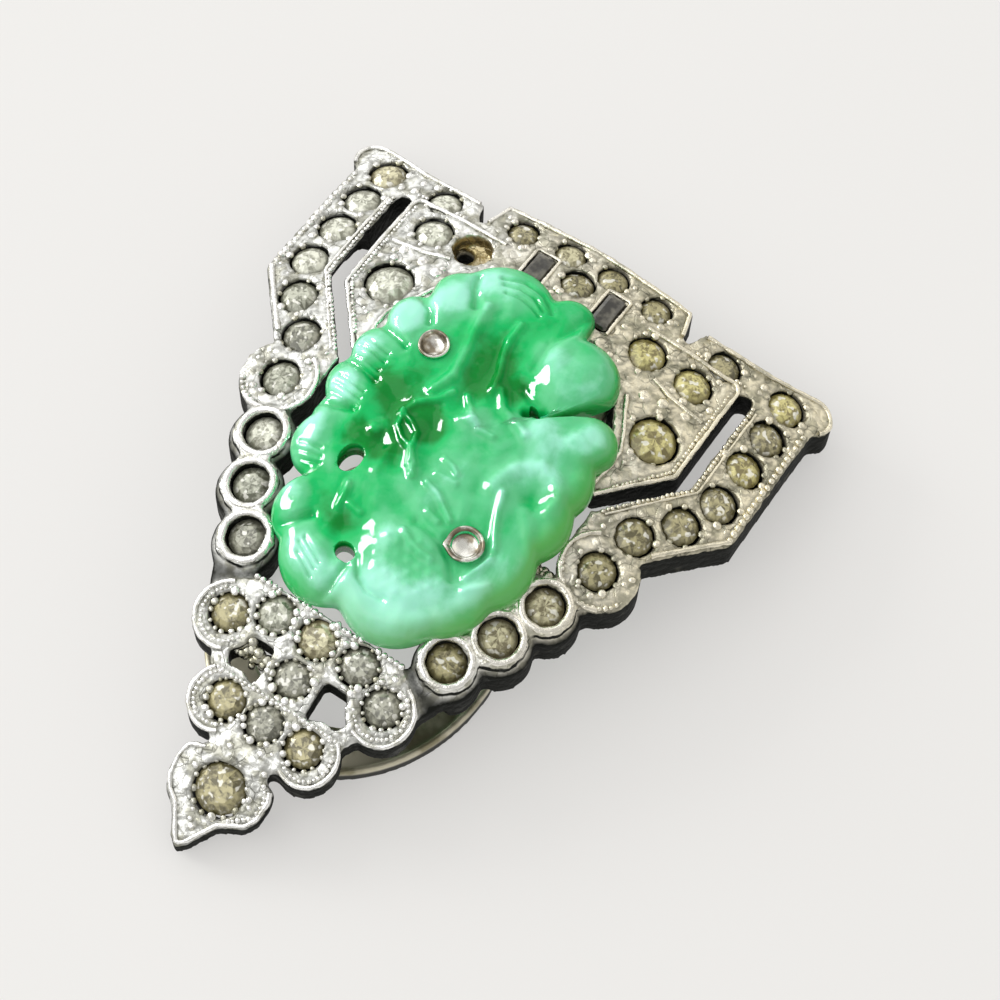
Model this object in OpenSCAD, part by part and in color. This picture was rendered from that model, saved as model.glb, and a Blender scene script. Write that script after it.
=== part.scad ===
// Dress clip: a domed, pierced casting set with round stones, a carved glass
// plaque held by two tube rivets, and a sprung lever hinged across the back.
// Origin: under the middle of the plaque, on the plane that the clip rests on.
// X runs across the clip, Y runs from the pointed tip to the wide top.

/* [Front casting] */
// Radius of the domed face
dome_r = 66.3; // [64:0.1:72]
// Height of the face's highest point above the resting plane
apex_z = 9.7; // [9.7:0.1:10.5]
// Depth of the casting round the bands, the panels and the round settings
edge_depth = 3.2; // [2.8:0.1:3.4]
// Depth of the lower ornament
ornament_depth = 2.1; // [1.9:0.1:2.4]
// Depth of the pointed tip
tip_depth = 1.5; // [1.5:0.1:1.6]
// Width of the slot between each band and its inner panel
slot_w = 1.15; // [0.9:0.05:1.3]

/* [Stones] */
// Diameter of the band, setting and ornament stones
stone_d = 2.7; // [2.4:0.05:2.75]
// Diameter of the large stone in each inner panel
panel_stone_d = 3.4; // [3:0.05:3.5]
// Diameter of the stone in the pointed tip
tip_stone_d = 3.6; // [3.2:0.05:3.7]
// Width of the two dark baguettes
baguette_w = 1.5; // [1.3:0.05:1.6]
// Length of the two dark baguettes
baguette_l = 3.1; // [2.8:0.05:3.2]

/* [Plaque] */
// Height of the plaque's lowest carved ground above the face
ground_h = 1.7; // [1.4:0.1:2]
// Height at which the rivet heads sit above the face
seat_h = 1.9; // [1.8:0.1:2.2]

/* [Lever] */
// Half the width of the lever's oval end
lever_r = 10.1; // [9.6:0.1:10.3]
// Half the length of the lever's oval end
lever_l = 11.8; // [11.2:0.1:12]
// Thickness of the lever's sheet
lever_t = 0.5; // [0.4:0.05:0.6]
// Height of the lever's turned-up rim
rim_h = 1.5; // [1.2:0.1:1.8]
// Diameter of the hinge pin
pin_d = 1.3; // [1.1:0.05:1.4]

/* [Hidden] */
$fn = 64;
fine_fn = 200;
side_names = ["left", "right"];
sides = [-1, 1];

// Face, back and steps of the casting
stock_h = 16;
face_centre_z = apex_z - dome_r;
far = 60;
past = 1;
ornament_from_y = -14.9;
tip_from_y = -24.9;
ring_lift = 0.35;
ledge_drop = 0.5;

// Right wing's outline, from the middle of the top round to the middle again: x, y
WING = [
    [0, 18.7], [3.5, 18.5], [7.6, 18.3], [8.1, 15.9], [8.7, 15.9], [9.1, 17.4],
    [14, 17.7], [18.2, 18.45], [19.7, 16.9], [19.65, 16.4], [18.9, 15.6], [18.9, 4.75],
    [15.2, 0.4], [12.8, -2.3], [10.1, -2], [10.1, 0.9], [9.4, 1.8], [8.6, 3],
    [8.2, 6.5], [6.6, 9.4], [3.6, 11.6], [0, 12.1]
];
corner_at = [18.2, 16.95];
corner_r = 1.5;

// Slot: its outer side, its straight run in y, and its slanting end: x, y
slot_out_x = 14.6;
slot_low_y = 6.2;
slot_top_y = 14.5;
slot_turn = 0.4;
// Undercut of the slot's outer wall: how far it leans out, where it starts and ends
flare = 1.0;
flare_top_y = 11;
flare_top_z = 7.2;
flare_foot_z = 4;
SLOT_END = [[14.6, 6.4], [10.2, 0.9], [9.2, 0.9], [8.4, 1.2], [9.6, 2.2]];

// Right half of the ornament's upper bar: x, y; and its round lobes: x, y, radius
ORNAMENT_BAR = [[0, -14.7], [5.5, -14.7], [7.6, -16.1], [6.1, -17.9], [4.2, -18.2], [0, -18.2]];
ORNAMENT_LOBES = [[6.1, -17.9, 2.35], [4.95, -20.45, 0.65], [3.5, -22.6, 2.2]];
// Middle column and the cheeks that join it to the low lobes: x, y, width, height
COLUMN = [-2, -25.6, 4, 10.9];
CHEEK = [1.5, -24.6, 1.5, 3.8];
// Pointed tip with two small wings, leaning a little to the left: x, y
TIP = [
    [-2.6, -24.4], [-2.7, -25.4], [-3.7, -25.7], [-4.05, -26.6], [-3.95, -28],
    [-3.5, -28.9], [-2.6, -29.5], [-1.6, -31.1], [-1, -31.6], [-0.4, -31.2],
    [0.9, -29.3], [2.5, -28.5], [3.05, -27.7], [3.15, -26.4], [2.9, -25.6],
    [2.1, -25.3], [2, -24.4]
];
// Webs that tie the round settings to the band end and to the ornament: x, y
UPPER_WEB = [[11.2, -3.6], [13.9, -4.4], [12.9, -6.6], [10.2, -5.6]];
LOWER_WEB = [[6.3, -13.6], [9.6, -14.2], [8.2, -17.2], [5.6, -15.6]];

// Round settings down each side: the ring, and the ledge that it stands on
ring_r = 2.0;
ledge_r = 2.35;
band_end = [12.8, -2.3];
band_end_r = 2.8;

// Cups and stones
cup_gap = 0.06;
cup_depth = 1.3;
vent_r = 0.45;
open_vent_r = 0.65;
open_vent_at = [-0.7, 0.2];
vent_l = 5;
girdle_drop = 0.35;
girdle_t = 0.08;
table_ratio = 0.56;
crown_ratio = 0.15;
pavilion_ratio = 0.28;
girdle_n = 16;

// Stones in mirrored pairs: name, x, y, diameter
PAIRS = [
    ["arm", 11.6, 16.1, stone_d - 0.3],
    ["corner", 16.6, 16.3, stone_d],
    ["band_1", 16.8, 13.3, stone_d],
    ["band_2", 16.8, 10.2, stone_d],
    ["band_3", 16.8, 6.8, stone_d],
    ["band_4", 15.6, 3.8, stone_d],
    ["band_5", 13.5, 1.2, stone_d],
    ["band_end", 12.8, -2.3, stone_d],
    ["round_1", 11.3, -6.4, stone_d],
    ["round_2", 9.9, -9.9, stone_d],
    ["round_3", 8.0, -13.1, stone_d],
    ["lobe", 6.1, -17.8, stone_d],
    ["inner_lobe", 3.3, -16.4, stone_d],
    ["leaf", 3.1, -22.6, stone_d],
    ["panel_large", 10.8, 7.9, panel_stone_d],
    ["panel_top", 10.7, 13.3, stone_d],
    ["centre_outer", 5.5, 16.9, stone_d - 0.5],
    ["centre_inner", 1.75, 17.2, stone_d - 0.5]
];
// This cup is set on the right and has lost its stone on the left
SINGLE = ["panel_inner", 6.9, 13.4, stone_d];
empty_x = -7.5;
// Stones on or near the axis: name, x, y, diameter
AXIAL = [
    ["centre_drop", 0, 15.3, stone_d - 0.3],
    ["ornament_top", 0, -16.4, stone_d],
    ["ornament_middle", 0, -19.4, stone_d],
    ["ornament_low", -0.05, -22.6, stone_d],
    ["tip", -0.3, -27.4, tip_stone_d]
];
baguette_at = [2.9, 14.4];
baguette_depth = 1.0;
// Levels of a baguette from its table down: how far it draws in, height
BAGUETTE_LEVELS = [[0.35, 0.22], [0.12, 0.1], [0, -0.12], [0.35, -0.8]];
corner_cut = 0.18;

ROUND = concat(
    [for (p = PAIRS, i = [0, 1])
        [str("stone_", p[0], "_", side_names[i]), sides[i] * p[1], p[2], p[3]]],
    [[str("stone_", SINGLE[0], "_right"), SINGLE[1], SINGLE[2], SINGLE[3]]],
    [for (p = AXIAL) [str("stone_", p[0]), p[1], p[2], p[3]]]
);
EMPTY_CUP = [empty_x, SINGLE[2], SINGLE[3]];
BAGUETTES = ["baguette_left", "baguette_right"];

// Plaque: its middle, and its carved lobes as x, y, radius, height above the face
plaque_c = [0.2, -0.6];
edge_h = 0.75;
plaque_gap = 0.06;
LOBES = [
    [-2.6, 9.6, 3.7, 2.3],
    [-5.6, 9.0, 2.0, 2.3],
    [-7.1, 5.7, 1.95, 2.2],
    [-7.4, 2.3, 2.2, 2.2],
    [-7.5, -0.6, 2.2, 2.2],
    [-7.0, -3.4, 2.0, 2.2],
    [-6.9, -5.4, 2.3, 2.2],
    [-5.2, -9.9, 2.4, 2.2],
    [-2.3, -11.3, 3.5, 2.2],
    [2.6, -10.8, 4.0, 2.7],
    [4.8, -9.0, 3.75, 2.4],
    [6.2, -6.2, 3.6, 2.4],
    [6.6, -2.2, 3.5, 2.6],
    [6.6, 1.0, 3.2, 2.6],
    [7.7, 4.5, 1.9, 2.5],
    [4.45, 8.2, 2.85, 3.1],
    [1.6, 11.7, 1.7, 2.0]
];
// Raised stems across the middle: x and y of each end, half width, height
STEMS = [
    [-2.6, 10.0, -2.3, 3.6, 0.6, 2.2],
    [-1.3, 8.6, 0.3, 3.4, 0.5, 2.2],
    [0.9, 4.0, 4.0, 1.8, 0.6, 2.3],
    [-3.4, -1.0, -1.1, -4.3, 0.8, 2.2],
    [0.6, -4.5, 3.2, -6.0, 0.6, 2.1]
];
sectors = 96;
under_bevel = 0.45;
edge_soft = 0.08;
carved_share = 0.8;
// Underside of the plaque, from its middle out: share of the reach, height
UNDER_RINGS = [[0.35, plaque_gap], [0.65, plaque_gap], [0.9, plaque_gap],
    [0.94, under_bevel], [0.985, under_bevel + edge_soft]];
// Rings of the carved top, from its edge in: share of the reach
TOP_RINGS = [0.985, 0.96, 0.925, 0.885, 0.84, 0.79, 0.735, 0.68, 0.62,
    0.56, 0.5, 0.43, 0.36, 0.29, 0.22, 0.15, 0.08];
// Pierced eyes of the plaque as round cuts, two of them in one oval: x, y, radius
EYES = [[-4.6, -5.3, 0.8], [-4.6, -5.9, 0.8], [-1.25, -11.2, 0.75]];

// Rivets: x, y
rivet_upper_at = [-4.6, 4.2];
rivet_lower_at = [5.1, -6.65];
rivet_r = 0.85;
rivet_bore_r = 0.9;
rivet_head_r = 1.3;
rivet_head_h = 0.35;
seat_r = 1.38;
eyelet_r = 0.7;
eyelet_depth = 0.9;
lug_r = 2.0;
lug_depth = 2.0;
lug_drop = 0.02;
upper_lug_root_x = -9.4;
lower_lug_root_x = 10.4;
head_gap = 0.02;
sink = 0.1;

// Lever and hinge
lever_y = -11.3;
oval_past = 25;
oval_steps = 46;
window_y = -12.0;
window_r = 7.2;
rim_t = 0.45;
neck_from_y = -1;
hinge_y = 10.0;
hinge_z = 3.1;
hinge_half = 6.2;
neck_half = 5.8;
knuckle_r = 1.25;
pin_fit = 0.05;
ear_fit = 0.03;
ear_in = 6.6;
ear_t = 1.3;
ear_r = 1.5;
ear_h = 3;
pin_half = 8.1;
tooth_x = 1.0;
tooth_w = 1.1;
tooth_gap = 0.45;

// Height of the face over a point of the plan
function face_z(x, y) = face_centre_z + sqrt(dome_r * dome_r - x * x - y * y);

// Sets its children on the face, upright on the dome at that point
module on_face(x, y) {
    across = asin(x / dome_r);
    along = asin(y / (dome_r * cos(across)));
    translate([x, y, face_z(x, y)])
        rotate([-along, 0, 0])
            rotate([0, across, 0])
                children();
}

// Solid ball under the face, raised or lowered
module dome(lift = 0) {
    translate([0, 0, face_centre_z + lift])
        sphere(dome_r, $fn = fine_fn);
}

// Upright stock of a plan outline, cut to the dome
module cast(lift = 0) {
    intersection() {
        linear_extrude(stock_h) children();
        dome(lift);
    }
}

module both_sides() {
    children();
    mirror([1, 0]) children();
}

// Band, arm and inner panel of the right side
module wing_plan() {
    difference() {
        union() {
            polygon(WING);
            translate(corner_at) circle(corner_r);
            translate(band_end) circle(band_end_r);
        }
        slot_plan();
    }
}

// Slot between band and panel: upright, then slanting down under the plaque
module slot_plan() {
    slot_in = slot_out_x - slot_w;
    translate([slot_in, slot_low_y]) square([slot_w, slot_top_y - slot_low_y]);
    translate([slot_in + slot_w / 2, slot_top_y]) circle(slot_w / 2);
    polygon(concat(SLOT_END, [[slot_in, slot_low_y + slot_turn]]));
}

// Wedge behind the slot's outer wall, so that the slot is open at a slant too
module slot_flare() {
    translate([slot_out_x, flare_top_y, 0])
        rotate([90, 0, 0])
            linear_extrude(flare_top_y - slot_low_y)
                polygon([
                    [-sink, flare_top_z], [0, flare_top_z],
                    [flare, flare_foot_z], [-sink, flare_foot_z]
                ]);
}

// Lower ornament: five rounded lobes round a middle column, pierced each side
module ornament_plan() {
    translate([COLUMN[0], COLUMN[1]]) square([COLUMN[2], COLUMN[3]]);
    both_sides() {
        polygon(ORNAMENT_BAR);
        for (l = ORNAMENT_LOBES) translate([l[0], l[1]]) circle(l[2]);
        translate([CHEEK[0], CHEEK[1]]) square([CHEEK[2], CHEEK[3]]);
    }
    polygon(TIP);
}

// Lug under the plaque for a rivet, reaching in from the side
module lug_plan(at, root_x) {
    translate(at) circle(lug_r);
    from_x = min(at[0], root_x);
    translate([from_x, at[1] - lug_r]) square([abs(at[0] - root_x), 2 * lug_r]);
}

module face_plan() {
    both_sides() wing_plan();
    ornament_plan();
}

// Parts of the casting before its back and its cups are cut
module casting() {
    cast() face_plan();
    cast(-ledge_drop) {
        both_sides() round_settings_plan(ledge_r);
        both_sides() {
            polygon(UPPER_WEB);
            polygon(LOWER_WEB);
        }
    }
    cast(ring_lift) both_sides() round_settings_plan(ring_r);
}

// Lugs under the plaque that the rivets close on
module lugs() {
    difference() {
        cast(-lug_drop) {
            lug_plan(rivet_upper_at, upper_lug_root_x);
            lug_plan(rivet_lower_at, lower_lug_root_x);
        }
        dome(-lug_depth);
    }
}

module round_settings_plan(r) {
    for (p = PAIRS)
        if (p[0] == "round_1" || p[0] == "round_2" || p[0] == "round_3")
            translate([p[1], p[2]]) circle(r);
}

// What is taken off the back: the lower ball, raised under the ornament and tip
module back_cut() {
    dome(-edge_depth);
    intersection() {
        dome(-ornament_depth);
        translate([-far, ornament_from_y - far, -past]) cube([2 * far, far, stock_h]);
    }
    intersection() {
        dome(-tip_depth);
        translate([-far, tip_from_y - far, -past]) cube([2 * far, far, stock_h]);
    }
}

// Blind cup for a round stone, with the drilling at its bottom
module cup(d, drilling_r = vent_r, drilling_at = [0, 0]) {
    translate([0, 0, -cup_depth]) cylinder(d = d + 2 * cup_gap, h = cup_depth + past);
    translate([drilling_at[0], drilling_at[1], -vent_l])
        cylinder(r = drilling_r, h = vent_l, $fn = 32);
}

module baguette_cup() {
    translate([-baguette_w / 2 - cup_gap, -baguette_l / 2 - cup_gap, -baguette_depth])
        cube([baguette_w + 2 * cup_gap, baguette_l + 2 * cup_gap, baguette_depth + past]);
}

// Ear for the hinge pin, hanging from the back of a panel
module ear(side) {
    x0 = side > 0 ? ear_in : -ear_in - ear_t;
    translate([x0, hinge_y, hinge_z])
        rotate([90, 0, 90]) {
            cylinder(r = ear_r, h = ear_t);
            translate([-ear_r, 0, 0]) cube([2 * ear_r, ear_h, ear_t]);
        }
}

module frame() {
    color("silver")
    difference() {
        union() {
            difference() {
                casting();
                back_cut();
            }
            lugs();
            for (s = sides) ear(s);
        }
        for (s = ROUND) on_face(s[1], s[2]) cup(s[3]);
        on_face(EMPTY_CUP[0], EMPTY_CUP[1]) cup(EMPTY_CUP[2], open_vent_r, open_vent_at);
        for (s = sides) on_face(s * baguette_at[0], baguette_at[1]) baguette_cup();
        both_sides() slot_flare();
        for (at = [rivet_upper_at, rivet_lower_at])
            translate([at[0], at[1], 0]) cylinder(r = rivet_bore_r, h = stock_h);
        translate([-pin_half - past, hinge_y, hinge_z])
            rotate([0, 90, 0]) cylinder(r = pin_d / 2 + ear_fit, h = 2 * (pin_half + past));
    }
}

// Round stone on the XY plane at its girdle's upper edge: an eight-sided
// table, a crown of kites and triangles, a girdle and a pointed pavilion
module round_stone(d) {
    r = d / 2;
    table = [for (i = [0:7]) let (a = 45 * i) [
        table_ratio * r * cos(a), table_ratio * r * sin(a), crown_ratio * d]];
    upper = [for (i = [0:girdle_n - 1]) let (a = 360 / girdle_n * i) [
        r * cos(a), r * sin(a), 0]];
    lower = [for (p = upper) [p[0], p[1], -girdle_t]];
    culet = [[0, 0, -girdle_t - pavilion_ratio * d]];
    u = 8;
    w = u + girdle_n;
    c = w + girdle_n;
    polyhedron(
        points = concat(table, upper, lower, culet),
        faces = concat(
            [[for (i = [7:-1:0]) i]],
            [for (i = [0:7]) [i, (i + 1) % 8, u + 2 * i + 1]],
            [for (i = [0:7]) [i, u + 2 * i + 1, u + 2 * i]],
            [for (i = [0:7]) [(i + 1) % 8, u + (2 * i + 2) % girdle_n, u + 2 * i + 1]],
            [for (i = [0:girdle_n - 1]) let (j = (i + 1) % girdle_n) [u + i, u + j, w + j]],
            [for (i = [0:girdle_n - 1]) let (j = (i + 1) % girdle_n) [u + i, w + j, w + i]],
            [for (i = [0:girdle_n - 1]) [w + i, w + (i + 1) % girdle_n, c]]
        )
    );
}

module set_stone(s) {
    color("lightyellow")
        on_face(s[1], s[2])
            translate([0, 0, -girdle_drop]) round_stone(s[3]);
}

// Step-cut baguette: a bevelled table over a tapered body
module baguette(side) {
    corners = [[1, 1], [-1, 1], [-1, -1], [1, -1]];
    pts = [for (l = BAGUETTE_LEVELS, q = corners, k = [0, 1])
        let (
            x = baguette_w / 2 - l[0],
            y = baguette_l / 2 - l[0],
            first = (q[0] * q[1] > 0) == (k == 0)
        )
        [q[0] * (first ? x : x - corner_cut), q[1] * (first ? y - corner_cut : y), l[1]]];
    color("dimgray")
        on_face(side * baguette_at[0], baguette_at[1])
            polyhedron(
                points = pts,
                faces = concat(
                    [[for (i = [7:-1:0]) i]],
                    [for (l = [0:2], i = [0:7]) let (j = (i + 1) % 8)
                        [8 * l + i, 8 * l + j, 8 * l + 8 + j]],
                    [for (l = [0:2], i = [0:7]) let (j = (i + 1) % 8)
                        [8 * l + i, 8 * l + 8 + j, 8 * l + 8 + i]],
                    [[for (i = [0:7]) 24 + i]]
                )
            );
}

// Distance from the plaque's middle to the far side of a lobe, along a bearing
function lobe_reach(l, a) =
    let (
        v = [l[0] - plaque_c[0], l[1] - plaque_c[1]],
        b = v[0] * cos(a) + v[1] * sin(a),
        q = b * b - v[0] * v[0] - v[1] * v[1] + l[2] * l[2]
    )
    q > 0 ? b + sqrt(q) : 0;
function plaque_reach(a) = max([for (l = LOBES) lobe_reach(l, a)]);

// Carved height over the face: the highest of the ground, the lobes and the stems
function lobe_h(l, x, y) =
    let (q = 1 - ((x - l[0]) * (x - l[0]) + (y - l[1]) * (y - l[1])) / (l[2] * l[2]))
    q > 0 ? edge_h + (l[3] - edge_h) * sqrt(q) : 0;
function stem_h(s, x, y) =
    let (
        d = [s[2] - s[0], s[3] - s[1]],
        t = max(0, min(1, ((x - s[0]) * d[0] + (y - s[1]) * d[1]) / (d * d))),
        e = [x - s[0] - t * d[0], y - s[1] - t * d[1]],
        q = 1 - (e * e) / (s[4] * s[4])
    )
    q > 0 ? ground_h + (s[5] - ground_h) * sqrt(q) : 0;
function carved_h(x, y, inner) = max(concat(
    [inner ? ground_h : edge_h],
    [for (l = LOBES) lobe_h(l, x, y)],
    [for (s = STEMS) stem_h(s, x, y)]
));

function plaque_point(k, a, h) =
    let (
        r = k * plaque_reach(a),
        x = plaque_c[0] + r * cos(a),
        y = plaque_c[1] + r * sin(a)
    )
    [x, y, face_z(x, y) + (h < 0 ? carved_h(x, y, k < carved_share) : h)];

module plaque_body() {
    step = 360 / sectors;
    rows = concat(
        UNDER_RINGS,
        [[1, (edge_h + under_bevel) / 2 + edge_soft]],
        [for (k = TOP_RINGS) [k, -1]]
    );
    n = len(rows);
    low = n * sectors;
    high = low + 1;
    polyhedron(
        points = concat(
            [for (w = rows, i = [0:sectors - 1]) plaque_point(w[0], i * step, w[1])],
            [plaque_point(0, 0, plaque_gap), plaque_point(0, 0, -1)]
        ),
        faces = concat(
            [for (i = [0:sectors - 1]) [low, i, (i + 1) % sectors]],
            [for (w = [0:n - 2], i = [0:sectors - 1]) let (j = (i + 1) % sectors)
                [w * sectors + i, (w + 1) * sectors + i, (w + 1) * sectors + j]],
            [for (w = [0:n - 2], i = [0:sectors - 1]) let (j = (i + 1) % sectors)
                [w * sectors + i, (w + 1) * sectors + j, w * sectors + j]],
            [for (i = [0:sectors - 1]) [high, (n - 1) * sectors + (i + 1) % sectors,
                (n - 1) * sectors + i]]
        ),
        convexity = 6
    );
}

module plaque() {
    color("mediumseagreen")
    difference() {
        plaque_body();
        for (at = [rivet_upper_at, rivet_lower_at]) {
            translate([at[0], at[1], 0]) cylinder(r = rivet_bore_r, h = stock_h);
            translate([at[0], at[1], face_z(at[0], at[1]) + seat_h])
                cylinder(r = seat_r, h = stock_h);
        }
        for (e = EYES) translate([e[0], e[1], 0]) cylinder(r = e[2], h = stock_h);
        linear_extrude(stock_h) both_sides() round_settings_plan(ring_r + plaque_gap);
    }
}

// Height just under a lug, at the side of the rivet's head where it is lowest
function lug_under_z(at) =
    let (k = 1 + rivet_head_r / sqrt(at * at))
    face_z(k * at[0], k * at[1]) - lug_depth - lug_drop;

// Tube rivet from under its lug to the seat on the plaque, with an open eyelet
module rivet(at) {
    seat_z = face_z(at[0], at[1]) + seat_h;
    under_z = lug_under_z(at);
    color("gainsboro")
    translate([at[0], at[1], 0])
    difference() {
        union() {
            translate([0, 0, under_z - rivet_head_h])
                cylinder(r = rivet_head_r, h = rivet_head_h);
            translate([0, 0, under_z - sink])
                cylinder(r = rivet_r, h = seat_z - under_z + 2 * sink);
            translate([0, 0, seat_z + head_gap]) cylinder(r = rivet_head_r, h = rivet_head_h);
        }
        translate([0, 0, seat_z + rivet_head_h - eyelet_depth])
            cylinder(r = eyelet_r, h = eyelet_depth + past);
    }
}

// Outline of the lever, an oval end on a neck, drawn in by a margin all round
module lever_plan(margin) {
    half = neck_half - margin;
    neck_end = hinge_y - knuckle_r + rim_t - margin;
    polygon(concat(
        [for (i = [0:oval_steps])
            let (a = 180 - oval_past + (180 + 2 * oval_past) * i / oval_steps)
            [(lever_r - margin) * cos(a), lever_y + (lever_l - margin) * sin(a)]],
        [[half, neck_from_y], [half, neck_end], [-half, neck_end], [-half, neck_from_y]]
    ));
}

module lever() {
    color("darkkhaki")
    difference() {
        union() {
            difference() {
                linear_extrude(rim_h) lever_plan(0);
                translate([0, 0, lever_t]) linear_extrude(rim_h) lever_plan(rim_t);
            }
            translate([-neck_half, hinge_y - knuckle_r, 0])
                cube([2 * neck_half, rim_t, hinge_z]);
            translate([-hinge_half, hinge_y, hinge_z])
                rotate([0, 90, 0]) cylinder(r = knuckle_r, h = 2 * hinge_half);
            for (s = sides) lever_tooth(s);
        }
        translate([0, window_y, -past]) cylinder(r = window_r, h = rim_h + 2 * past);
        translate([-hinge_half - past, hinge_y, hinge_z])
            rotate([0, 90, 0]) cylinder(r = pin_d / 2 + pin_fit, h = 2 * (hinge_half + past));
    }
}

// Pointed tooth of the lever's free end, turned up towards the front
module lever_tooth(side) {
    y_end = lever_y - (lever_l - rim_t) * sqrt(1 - pow(tooth_x / (lever_r - rim_t), 2));
    tooth_top = face_z(tooth_x, y_end) - ornament_depth - tooth_gap;
    translate([side * tooth_x, y_end + rim_t, 0])
        rotate([90, 0, 0])
            linear_extrude(rim_t)
                polygon([
                    [-tooth_w / 2, lever_t / 2], [tooth_w / 2, lever_t / 2],
                    [tooth_w / 2, rim_h], [0, tooth_top], [-tooth_w / 2, rim_h]
                ]);
}

module hinge_pin() {
    color("gray")
    translate([-pin_half, hinge_y, hinge_z])
        rotate([0, 90, 0]) cylinder(d = pin_d, h = 2 * pin_half);
}

frame();
plaque();
rivet(rivet_upper_at);  // rivet_upper
rivet(rivet_lower_at);  // rivet_lower
lever();
hinge_pin();
for (s = ROUND) set_stone(s);
for (i = [0, 1]) baguette(sides[i]);
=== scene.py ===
"""Dresses the dress clip: cast relief, stones, carved glass plaque, rivets and lever, on a pale floor."""
import logging
import math
import random
from dataclasses import dataclass
from enum import Enum
from typing import Callable

import bpy
import numpy as np
from mathutils import Matrix, Vector
from mathutils.bvhtree import BVHTree
from mathutils.kdtree import KDTree


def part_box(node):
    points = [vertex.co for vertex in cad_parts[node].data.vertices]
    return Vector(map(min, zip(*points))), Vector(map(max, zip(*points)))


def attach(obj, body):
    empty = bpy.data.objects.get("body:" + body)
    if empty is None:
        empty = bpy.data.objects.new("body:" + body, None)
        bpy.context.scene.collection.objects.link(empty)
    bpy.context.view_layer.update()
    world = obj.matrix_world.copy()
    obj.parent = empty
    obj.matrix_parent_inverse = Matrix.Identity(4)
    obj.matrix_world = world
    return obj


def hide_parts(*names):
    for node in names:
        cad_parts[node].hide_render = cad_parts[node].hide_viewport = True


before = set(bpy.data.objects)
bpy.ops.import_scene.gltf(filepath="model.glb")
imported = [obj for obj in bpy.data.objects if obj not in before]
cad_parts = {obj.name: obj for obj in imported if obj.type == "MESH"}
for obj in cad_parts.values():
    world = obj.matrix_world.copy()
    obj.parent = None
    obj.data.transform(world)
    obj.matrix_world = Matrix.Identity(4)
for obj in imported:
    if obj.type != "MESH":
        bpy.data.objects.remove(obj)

log = logging.getLogger("dress_clip")

MM = 0.001
FRONT = "front"
LEVER = "lever"
Plan = tuple[float, float]
Colour = tuple[float, float, float]
Numbers = float | np.ndarray
Rows = tuple[tuple[float, ...], ...]
Piece = bpy.types.Object
Socket = bpy.types.NodeSocket


@dataclass(frozen=True)
class Dome:
    """The ball that the clip's face follows: its radius and its top's height, in millimetres."""

    radius: float = 66.3
    apex: float = 9.7

    def height(self, x: Numbers, y: Numbers) -> Numbers:
        """Height of the face over a point of the plan, or over arrays of points."""
        return self.apex - self.radius + np.sqrt(self.radius ** 2 - x * x - y * y)

    def normal(self, x: float, y: float) -> Vector:
        """Outward direction of the face over a point of the plan."""
        return Vector((x, y, math.sqrt(self.radius ** 2 - x * x - y * y))) / self.radius

    def point(self, x: float, y: float, lift: float = 0.0) -> Vector:
        """Point of the face, raised along its normal, in metres."""
        return (Vector((x, y, self.height(x, y))) + self.normal(x, y) * lift) * MM

    def turn(self, x: float, y: float) -> Matrix:
        """Rotation that sets an upright thing square on the face."""
        return self.normal(x, y).to_track_quat("Z", "Y").to_matrix().to_4x4()


DOME = Dome()


class Value:
    """A number socket of a shader. Expressions on it add their Math nodes."""

    def __init__(self, tree: "Shader", socket: Socket) -> None:
        """Wraps an output socket of a shader's node."""
        self.tree = tree
        self.socket = socket

    def _math(self, operation: str, first: object, second: object) -> "Value":
        """Result of a Math node on two numbers or values."""
        return self.tree.value("ShaderNodeMath", {"operation": operation}, {0: first, 1: second})

    def __add__(self, other: object) -> "Value":
        """Sum."""
        return self._math("ADD", self, other)

    __radd__ = __add__

    def __sub__(self, other: object) -> "Value":
        """Difference."""
        return self._math("SUBTRACT", self, other)

    def __rsub__(self, other: object) -> "Value":
        """Difference from a number."""
        return self._math("SUBTRACT", other, self)

    def __mul__(self, other: object) -> "Value":
        """Product."""
        return self._math("MULTIPLY", self, other)

    __rmul__ = __mul__

    def most(self, other: object) -> "Value":
        """The larger of two."""
        return self._math("MAXIMUM", self, other)

    def least(self, other: object) -> "Value":
        """The smaller of two."""
        return self._math("MINIMUM", self, other)

    def step(self, low: float, high: float) -> "Value":
        """Rises smoothly from 0 at low to 1 at high."""
        limits = {"Value": self, "From Min": low, "From Max": high}
        return self.tree.value("ShaderNodeMapRange", {"interpolation_type": "SMOOTHSTEP"}, limits)


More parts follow.
